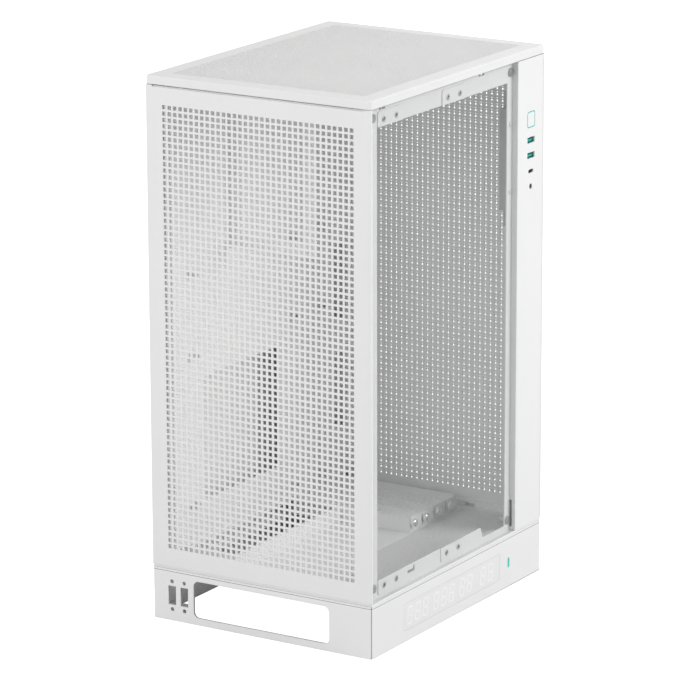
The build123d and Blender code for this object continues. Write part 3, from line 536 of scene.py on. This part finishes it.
def foldDown(bm, loop, profile, closed):
    base = [(v.co.copy(), direction) for v, direction in loop]
    last = [v for v, _ in loop]
    count = len(loop)
    for reach, drop in profile:
        ring = [bm.verts.new(p + d * reach - Vector((0, 0, drop))) for p, d in base]
        for i in range(count if closed else count - 1):
            j = (i + 1) % count
            corners = list(dict.fromkeys((last[i], last[j], ring[j], ring[i])))
            if len(corners) > 2:
                bm.faces.new(corners)
        last = ring


def dropSlivers(bm):
    # Takes out doubled points and faces with almost no area
    bmesh.ops.remove_doubles(bm, verts=bm.verts, dist=tiny / 2)
    flat = [face for face in bm.faces if face.calc_area() < sliver]
    bmesh.ops.delete(bm, geom=flat, context="FACES")


def placeSheet(bm, matrix):
    dropSlivers(bm)
    bmesh.ops.recalc_face_normals(bm, faces=bm.faces)
    bm.normal_update()
    if sum(face.normal.z * face.calc_area() for face in bm.faces) < 0:
        bmesh.ops.reverse_faces(bm, faces=bm.faces)
    bm.transform(matrix)


def finishSheet(name, bm, thickness, body, slotName, *replaced):
    mesh = bpy.data.meshes.new(name)
    bm.to_mesh(mesh)
    bm.free()
    mesh.materials.append(finishes[slotName])
    piece = bpy.data.objects.new(name, mesh)
    bpy.context.scene.collection.objects.link(piece)
    wall = piece.modifiers.new("wall", "SOLIDIFY")
    wall.thickness = thickness
    wall.offset = -1.0
    solid = bpy.data.meshes.new_from_object(piece.evaluated_get(bpy.context.evaluated_depsgraph_get()))
    piece.modifiers.remove(wall)
    piece.data = solid
    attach(piece, body)
    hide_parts(*replaced)
    return piece


def axes(right, up, out, origin):
    matrix = Matrix((right, up, out)).transposed().to_4x4()
    matrix.translation = origin
    return matrix


# ---- perforated panels and lid ----

coarse = {"columns": 35, "rows": 72, "pitch": 5.38 * mm, "hole": 3.45 * mm, "lowest": 67.1 * mm}
rearPanelLook = {"bend": 0.9 * mm, "notch": 1.2 * mm, "notchInset": 6.8 * mm, "sheet": 1.0 * mm}
frontPanelLook = {"finer": 2, "hole": 1.6 * mm, "bend": 0.9 * mm, "sheet": 1.0 * mm}
grilleLook = {"sheet": 1.0 * mm}
lidLook = {"columns": 70, "rows": 96, "pitch": 2.69 * mm, "hole": 1.85 * mm, "corner": 3.0 * mm,
           "bend": 1.2 * mm, "fan": 6, "sheet": 1.0 * mm}


def perforatedSheet(name, pattern, width, height, shift):
    mesh = runTree(name, perforationTree, {
        "Columns": pattern["columns"], "Rows": pattern["rows"], "Pitch": pattern["pitch"],
        "Hole": pattern["hole"], "Width": width, "Height": height, "Shift": shift,
        "Material": finishes["white_steel"],
    })
    bm = bmesh.new()
    bm.from_mesh(mesh)
    return bm


def coarseMiddle():
    return coarse["lowest"] + coarse["pitch"] * (coarse["rows"] - 1) / 2


def makeRearPanel(look):
    halfX = rear.size.x / 2 - look["bend"]
    top = rear.high.z - look["notch"]
    height = top - rear.low.z
    middle = (top + rear.low.z) / 2
    bm = perforatedSheet("rearSheet", coarse, 2 * halfX, height, (0.0, coarseMiddle() - middle, 0.0))
    # Two small ears beside the slot under the lid
    cut = rear.size.x / 2 - look["notchInset"]
    for sign in (-1, 1):
        bmesh.ops.bisect_plane(bm, geom=bm.verts[:] + bm.edges[:] + bm.faces[:], dist=tiny / 2,
                               plane_co=(sign * cut, 0, 0), plane_no=(1, 0, 0))
        topVerts = [v for v in bm.verts if v.co.y > height / 2 - tiny and sign * v.co.x > cut - tiny]
        topVerts.sort(key=lambda v: v.co.x)
        raised = [bm.verts.new(v.co + Vector((0, look["notch"], 0))) for v in topVerts]
        for i in range(len(topVerts) - 1):
            bm.faces.new((topVerts[i], topVerts[i + 1], raised[i + 1], raised[i]))
    for sign in (-1, 1):
        profile = arcProfile(look["bend"], look["bend"], rear.size.y)
        foldDown(bm, sideLoop(bm, halfX, sign), profile, False)
    placeSheet(bm, axes((1, 0, 0), (0, 0, 1), (0, -1, 0), (0, rear.low.y, middle)))
    finishSheet("rearPanel", bm, look["sheet"], "rear_cover", "white_steel", "rear_panel")


def makeFrontPanel(look):
    # Its holes are half the size of the grille's and line up with them; made as a lower and an upper half
    finer = look["finer"]
    pattern = {"columns": coarse["columns"] * finer, "rows": coarse["rows"] * finer // 2,
               "pitch": coarse["pitch"] / finer, "hole": look["hole"]}
    halfX = front.size.x / 2 - look["bend"]
    seam = coarseMiddle()
    reach = pattern["rows"] * pattern["pitch"] / 2
    for name, low, high, field in (("frontPanelLower", front.low.z, seam, seam - reach),
                                   ("frontPanelUpper", seam, front.high.z, seam + reach)):
        middle = (low + high) / 2
        bm = perforatedSheet(name, pattern, 2 * halfX, high - low, (0.0, field - middle, 0.0))
        dropSlivers(bm)
        for sign in (-1, 1):
            profile = arcProfile(look["bend"], look["bend"], front.size.y)
            foldDown(bm, sideLoop(bm, halfX, sign), profile, False)
        placeSheet(bm, axes((-1, 0, 0), (0, 0, 1), (0, 1, 0), (0, front.high.y, middle)))
        piece = finishSheet(name, bm, look["sheet"], "front_cover", "white_steel", "front_panel")
        openEnd(piece.data, seam)


def openEnd(mesh, height):
    # Takes away the hidden wall where two halves of one sheet meet
    bm = bmesh.new()
    bm.from_mesh(mesh)
    hidden = [f for f in bm.faces if all(abs(v.co.z - height) < tiny for v in f.verts)]
    bmesh.ops.delete(bm, geom=hidden, context="FACES")
    bm.to_mesh(mesh)
    bm.free()


def makeGrille(look):
    shift = (0.0, coarseMiddle() - grille.middle.z, 0.0)
    bm = perforatedSheet("grilleSheet", coarse, grille.size.x, grille.size.z, shift)
    placeSheet(bm, axes((-1, 0, 0), (0, 0, 1), (0, 1, 0), (0, grille.high.y, grille.middle.z)))
    finishSheet("frontGrille", bm, look["sheet"], "chassis", "white_steel", "front_grille")


def makeLid(look):
    halfX = lid.size.x / 2 - look["corner"]
    halfY = lid.size.y / 2 - look["corner"]
    bm = perforatedSheet("lidSheet", look, 2 * halfX, 2 * halfY, (0.0, 0.0, 0.0))
    profile = arcProfile(look["corner"], look["bend"], lid.size.z)
    foldDown(bm, outlineLoop(bm, halfX, halfY, look["fan"]), profile, True)
    placeSheet(bm, axes((1, 0, 0), (0, 1, 0), (0, 0, 1), (0, 0, lid.high.z)))
    finishSheet("topLid", bm, look["sheet"], "lid", "white_steel", "top_lid")


floorLook = {"columns": 24, "rows": 98, "pitch": 2.69 * mm, "hole": 1.6 * mm, "sheet": 1.0 * mm,
             "field": (68.5 * mm, 1.5 * mm),
             "openings": ((-84.0, -38.45, -122.5, 41.5), (-84.0, 31.0, 47.5, 122.8))}


def makeFloorPan(look):
    # The inside floor: finely perforated on the clear side, with openings under the deck and the slots
    pan = Place("floor_pan")
    halfX, halfY = pan.size.x / 2, pan.size.y / 2
    bm = perforatedSheet("floorSheet", look, 2 * halfX, 2 * halfY, (*look["field"], 0.0))
    edge = look["field"][0] - look["columns"] * look["pitch"] / 2
    for x0, x1, y0, y1 in look["openings"]:
        for point, normal in (((x0, 0), (1, 0)), ((x1, 0), (1, 0)), ((0, y0), (0, 1)), ((0, y1), (0, 1))):
            faces = [f for f in bm.faces if all(v.co.x < edge + tiny for v in f.verts)]
            around = list({e for f in faces for e in f.edges}) + list({v for f in faces for v in f.verts})
            bmesh.ops.bisect_plane(bm, geom=faces + around, dist=tiny / 2,
                                   plane_co=(point[0] * mm, point[1] * mm, 0), plane_no=(*normal, 0))
        inside = []
        for face in bm.faces:
            centre = face.calc_center_median()
            if x0 * mm < centre.x < x1 * mm and y0 * mm < centre.y < y1 * mm:
                inside.append(face)
        bmesh.ops.delete(bm, geom=inside, context="FACES")
    foldDown(bm, outlineLoop(bm, halfX, halfY, 1), [(0.0, pan.size.z)], True)
    placeSheet(bm, axes((1, 0, 0), (0, 1, 0), (0, 0, 1), (0, 0, pan.high.z)))
    finishSheet("floorPan", bm, look["sheet"], "chassis", "white_steel", "floor_pan")


makeRearPanel(rearPanelLook)
makeFrontPanel(frontPanelLook)
makeFloorPan(floorLook)
makeGrille(grilleLook)
makeLid(lidLook)
print("perforated panels made")


# ---- small turned and moulded pieces ----

def buildScatterTree():
    # Sets one piece on every point of the mesh it is given
    shader = newTree("placeAtPoints", [("Piece", "Object"), ("Material", "Material")])
    given = shader.add("NodeGroupInput")
    result = shader.add("NodeGroupOutput")
    piece = shader.add("GeometryNodeObjectInfo", transform_space="ORIGINAL")
    shader.join(given, "Piece", piece, "Object")
    copies = shader.add("GeometryNodeInstanceOnPoints")
    shader.join(given, "Geometry", copies, "Points")
    shader.join(piece, "Geometry", copies, "Instance")
    solid = shader.add("GeometryNodeRealizeInstances")
    shader.join(copies, "Instances", solid, "Geometry")
    painted = shader.add("GeometryNodeSetMaterial")
    shader.join(solid, "Geometry", painted, "Geometry")
    shader.join(given, "Material", painted, "Material")
    shader.join(painted, "Geometry", result, "Geometry")
    return shader.tree


scatterTree = buildScatterTree()


def placeCopies(name, bm, points, body, slotName, *replaced):
    # Turns a small mesh into one piece with a copy at each point
    bmesh.ops.recalc_face_normals(bm, faces=bm.faces)
    mesh = bpy.data.meshes.new(name + "Shape")
    bm.to_mesh(mesh)
    bm.free()
    shape = bpy.data.objects.new(name + "Shape", mesh)
    start = bpy.data.meshes.new(name + "Points")
    start.from_pydata([tuple(point) for point in points], [], [])
    values = {"Piece": shape, "Material": finishes[slotName]}
    finished = runTree(name, scatterTree, values, start)
    bpy.data.objects.remove(shape)
    piece = bpy.data.objects.new(name, finished)
    bpy.context.scene.collection.objects.link(piece)
    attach(piece, body)
    if replaced:
        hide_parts(*replaced)


def turnProfile(bm, profile, steps, ribs=None):
    # Turns (along, radius) points round the X axis; ribs gives the points with a knurled rim
    rings = []
    for index, (along, radius) in enumerate(profile):
        ring = []
        for step in range(steps):
            angle = 2 * math.pi * step / steps
            ribbed = ribs and index in ribs["points"] and step % ribs["pitch"] >= ribs["pitch"] // 2
            reach = radius - (ribs["depth"] if ribbed else 0.0)
            ring.append(bm.verts.new((along, reach * math.cos(angle), reach * math.sin(angle))))
        rings.append(ring)
    for low, high in zip(rings, rings[1:]):
        for step in range(steps):
            after = (step + 1) % steps
            bm.faces.new((low[step], low[after], high[after], high[step]))
    return rings


def cutCross(bm, ring, recess):
    # A tapering cross sunk into the flat end inside the ring
    along = ring[0].co.x
    arm, half = recess["arm"], recess["half"]
    outline = []
    for turn in range(4):
        c, s = ((1, 0), (0, 1), (-1, 0), (0, -1))[turn]
        for a, b in ((arm, -half), (arm, half), (half, half)):
            outline.append((a * c - b * s, a * s + b * c))
    rim = [bm.verts.new((along, y, z)) for y, z in outline]
    edges = [bm.edges.new((rim[i], rim[(i + 1) % 12])) for i in range(12)]
    edges += [bm.edges.get((ring[i], ring[(i + 1) % len(ring)])) for i in range(len(ring))]
    bmesh.ops.triangle_fill(bm, use_beauty=True, edges=edges)
    taper = recess["taper"]
    floor = [bm.verts.new((along - recess["depth"], y * taper, z * taper)) for y, z in outline]
    for i in range(12):
        j = (i + 1) % 12
        bm.faces.new((rim[i], rim[j], floor[j], floor[i]))
    bm.faces.new(floor)


thumbscrewLook = {"shank": 1.7 * mm, "neckEnd": 1.0 * mm, "collar": 3.1 * mm,
                  "chamfer": 0.45 * mm, "cap": 2.75 * mm, "dome": 0.35 * mm, "steps": 96,
                  "head": 4.4 * mm, "thread": 0.5 * mm, "threadDepth": 0.18 * mm, "tip": 0.4 * mm,
                  "ribs": {"depth": 0.22 * mm, "pitch": 4},
                  "cross": {"arm": 1.75 * mm, "half": 0.36 * mm, "depth": 1.1 * mm, "taper": 0.5}}


def makeThumbscrew(index, look):
    node = "thumbscrew_%d" % index
    place = Place(node)
    radius = place.size.z / 2
    length = place.size.x
    seat = length - look["head"]
    profile = [(0.0, look["shank"] - look["tip"])]
    along = look["tip"]
    while along < seat - look["thread"] * 0.5:
        profile.append((along, look["shank"] - look["threadDepth"]))
        profile.append((along + look["thread"] * 0.5, look["shank"]))
        along += look["thread"]
    profile.append((seat, look["shank"]))
    profile.append((seat, look["collar"]))
    profile.append((seat + look["neckEnd"], look["collar"]))
    knurl = len(profile)
    profile.append((seat + look["neckEnd"], radius - look["chamfer"]))
    profile.append((seat + look["neckEnd"] + look["chamfer"], radius))
    profile.append((length - look["dome"] - look["chamfer"], radius))
    profile.append((length - look["dome"], radius - look["chamfer"]))
    profile.append((length, look["cap"]))
    bm = bmesh.new()
    ribs = {**look["ribs"], "points": (knurl + 1, knurl + 2)}
    rings = turnProfile(bm, profile, look["steps"], ribs)
    bm.faces.new(rings[0])
    cutCross(bm, rings[-1], look["cross"])
    point = (place.low.x, place.middle.y, place.middle.z)
    placeCopies("thumbscrew%d" % index, bm, [point], "screw_%d" % index, "chrome_screw", node)


for index in range(1, 5):
    makeThumbscrew(index, thumbscrewLook)

rivetLook = {"rows": (0.0, 19.7, 103.4, 123.1), "head": 2.6 * mm, "rise": 0.3 * mm, "shank": 1.65 * mm,
             "bore": 1.2 * mm, "round": 0.35 * mm, "lip": 0.2 * mm, "arc": 5, "steps": 40}


def makeRivets(look):
    # Low pulled rivets: a rounded head on both sides of the sheet and an open bore
    place = Place("plate_rivets")
    head, rise, inside, lip = look["head"], look["rise"], look["bore"], look["lip"]
    far = -place.size.x
    outer = []
    for step in range(look["arc"] + 1):
        angle = math.pi / 2 * step / look["arc"]
        outer.append((rise * math.sin(angle), look["round"] * (1 - math.cos(angle))))
    profile = [(far + lip, inside), (far, inside + lip)]
    profile += [(far + rise - up, head - back) for up, back in reversed(outer)]
    profile += [(far + rise, look["shank"]), (-rise, look["shank"])]
    profile += [(up - rise, head - back) for up, back in outer]
    profile += [(0.0, inside + lip), (-lip, inside)]
    bm = bmesh.new()
    rings = turnProfile(bm, profile, look["steps"])
    for step in range(look["steps"]):
        after = (step + 1) % look["steps"]
        bm.faces.new((rings[-1][step], rings[-1][after], rings[0][after], rings[0][step]))
    points = []
    for row in look["rows"]:
        for z in (place.low.z + head, place.high.z - head):
            points.append((place.high.x, place.low.y + head + row * mm, z))
    placeCopies("plateRivets", bm, points, "chassis", "zinc_steel", "plate_rivets")


railScrewLook = {"head": 2.4 * mm, "rise": 0.7 * mm, "cap": 1.9 * mm, "shank": 1.6 * mm,
                 "arc": 5, "steps": 48,
                 "cross": {"arm": 1.15 * mm, "half": 0.25 * mm, "depth": 0.45 * mm, "taper": 0.6}}


def makeRailScrews(look):
    # Painted pan heads with a cross, on plain shanks
    place = Place("rail_screws")
    head, rise, cap = look["head"], look["rise"], look["cap"]
    profile = [(-place.size.x, look["shank"]), (-rise, look["shank"]), (-rise, head)]
    for step in range(1, look["arc"] + 1):
        angle = math.pi / 2 * step / look["arc"]
        profile.append((-rise + rise * math.sin(angle), cap + (head - cap) * math.cos(angle)))
    bm = bmesh.new()
    rings = turnProfile(bm, profile, look["steps"])
    bm.faces.new(rings[0])
    cutCross(bm, rings[-1], look["cross"])
    points = [(place.high.x, place.middle.y, z) for z in (place.low.z + head, place.high.z - head)]
    placeCopies("railScrewHeads", bm, points, "chassis", "white_screw", "rail_screws")


linerLook = {"width": 12.5 * mm, "height": 5.1 * mm, "wall": 0.12 * mm, "corner": 0.38 * mm, "arc": 3,
             "setBack": 0.5 * mm, "deep": 5.0 * mm, "plate": 1.2 * mm, "fromTongue": 2.59 * mm}


def makeLiners(look):
    # The moulded sleeve inside each wide connector
    tongues = Place("usb_a_tongues")
    bm = bmesh.new()
    loops = []
    for along in (-look["deep"], 0.0):
        for wall in (0.0, look["wall"]):
            outline = roundedOutline(look["width"] - 2 * wall, look["height"] - 2 * wall,
                                     look["corner"] - wall, look["arc"])
            loops.append([bm.verts.new((along, y, z)) for y, z in outline])
    count = len(loops[0])
    for first, second in ((0, 2), (1, 3), (0, 1), (2, 3)):
        for i in range(count):
            j = (i + 1) % count
            bm.faces.new((loops[first][i], loops[first][j], loops[second][j], loops[second][i]))
    mouth = Place("io_column").high.x - look["plate"] - look["setBack"]
    points = []
    for z in (tongues.low.z, tongues.high.z):
        inward = look["fromTongue"] if z == tongues.low.z else -look["fromTongue"]
        points.append((mouth, tongues.middle.y, z + inward))
    placeCopies("connectorSleeves", bm, points, "chassis", "teal_plastic")


makeRivets(rivetLook)
makeRailScrews(railScrewLook)
print("screws and rivets made")

displayLook = {"corner": 2.0 * mm, "bevel": 0.05 * mm, "sink": 0.05 * mm, "arc": 6,
               "turnIn": 0.4, "turnDown": 1.5,
               "digits": (10.5, 23.5, 36.5, 54.5, 67.5, 80.5, 98.5, 111.5, 134.5, 147.5),
               "width": 7.5 * mm, "height": 14.5 * mm, "stroke": 1.5 * mm, "gap": 0.25 * mm,
               "slant": 0.14}


def roundedOutline(width, height, radius, steps):
    points = []
    for turn, (sy, sz) in enumerate(((1, 1), (-1, 1), (-1, -1), (1, -1))):
        for step in range(steps + 1):
            angle = math.pi / 2 * (turn + step / steps)
            y = sy * (width / 2 - radius) + radius * math.cos(angle)
            z = sz * (height / 2 - radius) + radius * math.sin(angle)
            points.append((y, z))
    return points


def makeWindow(look):
    bm = bmesh.new()
    depth = window.size.x
    bevel = look["bevel"]
    rings = []
    steps = ((0.0, 0.0), (depth - bevel, 0.0),
             (depth - look["sink"] * look["turnDown"], bevel * look["turnIn"]),
             (depth - look["sink"], bevel))
    for along, inset in steps:
        outline = roundedOutline(window.size.y - 2 * inset, window.size.z - 2 * inset,
                                 look["corner"] - inset, look["arc"])
        rings.append([bm.verts.new((along, y, z)) for y, z in outline])
    count = len(rings[0])
    for low, high in zip(rings, rings[1:]):
        for i in range(count):
            j = (i + 1) % count
            bm.faces.new((low[i], low[j], high[j], high[i]))
    bm.faces.new(rings[0])
    bm.faces.new(rings[-1])
    point = (window.low.x, window.middle.y, window.middle.z)
    placeCopies("displayWindow", bm, [point], "chassis", "display_white", "display_window")


def makeDigits(look):
    # Seven bars of one figure, leaning a little, then a copy at each place
    bm = bmesh.new()
    halfW, halfH, stroke = look["width"] / 2, look["height"] / 2, look["stroke"]
    depth = look["sink"]
    bars = [((-halfW, z), (halfW, z)) for z in (halfH, 0, -halfH)]
    for y in (-halfW, halfW):
        bars += [((y, 0), (y, halfH)), ((y, -halfH), (y, 0))]
    for (y0, z0), (y1, z1) in bars:
        across = Vector((y1 - y0, z1 - z0)).normalized()
        side = Vector((-across.y, across.x)) * (stroke / 2)
        first = Vector((y0, z0)) + across * look["gap"]
        last = Vector((y1, z1)) - across * look["gap"]
        tip = across * (stroke / 2)
        outline = [first, first + tip + side, last - tip + side,
                   last, last - tip - side, first + tip - side]
        base = [bm.verts.new((-depth, p.x + look["slant"] * p.y, p.y)) for p in outline]
        top = [bm.verts.new((0.0, p.x + look["slant"] * p.y, p.y)) for p in outline]
        bm.faces.new(base)
        bm.faces.new(top)
        for i in range(6):
            j = (i + 1) % 6
            bm.faces.new((base[i], base[j], top[j], top[i]))
    points = [(window.high.x, window.low.y + along * mm, window.middle.z) for along in look["digits"]]
    placeCopies("displayFigures", bm, points, "chassis", "light_guide")


makeWindow(displayLook)
makeDigits(displayLook)
makeLiners(linerLook)
print("display and connector sleeves made")


# ---- camera, floor and light ----

cameraLook = {"azimuth": 31.75, "elevation": 14.76, "roll": -0.20, "lens": 220.1,
              "distance": 7.295, "right": -0.056, "up": 0.563, "sensor": 36.0, "farthest": 50.0}
studioLook = {"size": 12.0, "color": (0.55, 0.55, 0.55), "rough": 0.9, "glow": 1.1,
              "shadeFadeEnd": 100 * mm, "shadeFadeLength": 150 * mm}
worldLook = {"color": (1.0, 1.0, 1.0), "strength": 0.64}
lamps = {
    "sideSoftbox": {"place": (2.0, 0.8, 1.15), "size": 1.4, "power": 28.0},
    "frontFill": {"place": (-0.4, 2.2, 0.8), "size": 1.6, "power": 7.5},
    "farFill": {"place": (-2.1, 0.3, 0.8), "size": 1.6, "power": 8.0},
    "rearSoftbox": {"place": (-0.3, -2.1, 1.05), "size": 1.4, "power": 18.0},
}


def makeCamera(look):
    # The lens looks straight along its own axis, offset from the case's near lower corner
    azimuth = math.radians(look["azimuth"])
    elevation = math.radians(look["elevation"])
    flat = math.cos(elevation)
    back = Vector((math.sin(azimuth) * flat, -math.cos(azimuth) * flat, math.sin(elevation)))
    levelRight = Vector((0, 0, 1)).cross(back).normalized()
    levelUp = back.cross(levelRight)
    roll = math.radians(look["roll"])
    right = math.cos(roll) * levelRight + math.sin(roll) * levelUp
    up = math.cos(roll) * levelUp - math.sin(roll) * levelRight
    corner = Vector((cadHigh.x, cadLow.y, cadLow.z))
    height = cadHigh.z - cadLow.z
    data = bpy.data.cameras.new("camera")
    data.lens = look["lens"]
    data.sensor_width = look["sensor"]
    data.clip_end = look["farthest"]
    camera = bpy.data.objects.new("camera", data)
    place = corner + height * (look["right"] * right + look["up"] * up + look["distance"] * back)
    camera.matrix_world = axes(right, up, back, place)
    bpy.context.scene.collection.objects.link(camera)
    bpy.context.scene.camera = camera


def makeStudio(look):
    half = look["size"] / 2
    mesh = bpy.data.meshes.new("studioFloor")
    z = cadLow.z
    corners = [(-half, -half, z), (half, -half, z), (half, half, z), (-half, half, z)]
    mesh.from_pydata(corners, [], [(0, 1, 2, 3)])
    material = bpy.data.materials.new("studioFloor")
    material.use_nodes = True
    surface = material.node_tree.nodes["Principled BSDF"]
    surface.inputs["Base Color"].default_value = (*look["color"], 1.0)
    surface.inputs["Roughness"].default_value = look["rough"]
    surface.inputs["Emission Color"].default_value = (1.0, 1.0, 1.0, 1.0)
    # The floor reads as white but sheds no light of its own, and under the case the white fades towards
    # the front, a painted shade under the case
    shader = Shader(material.node_tree)
    seen = shader.add("ShaderNodeLightPath")
    spot = shader.add("ShaderNodeTexCoord")
    parts = shader.add("ShaderNodeSeparateXYZ")
    shader.join(spot, "Object", parts, "Vector")
    aside = shader.maths("GREATER_THAN", shader.maths("ABSOLUTE", parts.outputs["X"]), cadHigh.x)
    ahead = shader.maths("GREATER_THAN", parts.outputs["Y"], cadHigh.y)
    before = shader.maths("SUBTRACT", look["shadeFadeEnd"], parts.outputs["Y"])
    shadeFade = shader.maths("DIVIDE", before, look["shadeFadeLength"])
    shadeFade = shader.maths("MINIMUM", shader.maths("MAXIMUM", shadeFade, 0.0), 1.0)
    clear = shader.maths("MAXIMUM", shader.maths("MAXIMUM", aside, ahead), shadeFade)
    strength = shader.maths("MULTIPLY", clear, look["glow"])
    glow = shader.maths("MULTIPLY", seen.outputs["Is Camera Ray"], strength)
    shader.feed(glow, surface, "Emission Strength")
    mesh.materials.append(material)
    studioFloor = bpy.data.objects.new("studioFloor", mesh)
    bpy.context.scene.collection.objects.link(studioFloor)


def makeLight():
    world = bpy.data.worlds.new("studio")
    world.use_nodes = True
    background = world.node_tree.nodes["Background"]
    background.inputs["Color"].default_value = (*worldLook["color"], 1.0)
    background.inputs["Strength"].default_value = worldLook["strength"]
    bpy.context.scene.world = world
    for name, look in lamps.items():
        data = bpy.data.lights.new(name, "AREA")
        data.shape = "SQUARE"
        data.size = look["size"]
        data.energy = look["power"]
        lamp = bpy.data.objects.new(name, data)
        lamp.location = look["place"]
        aim = Vector((0, 0, cadHigh.z / 2)) - lamp.location
        lamp.rotation_euler = aim.to_track_quat("-Z", "Y").to_euler()
        bpy.context.scene.collection.objects.link(lamp)
    bpy.context.scene.view_settings.view_transform = "Standard"


makeCamera(cameraLook)
makeStudio(studioLook)
makeLight()
print("camera and light set")
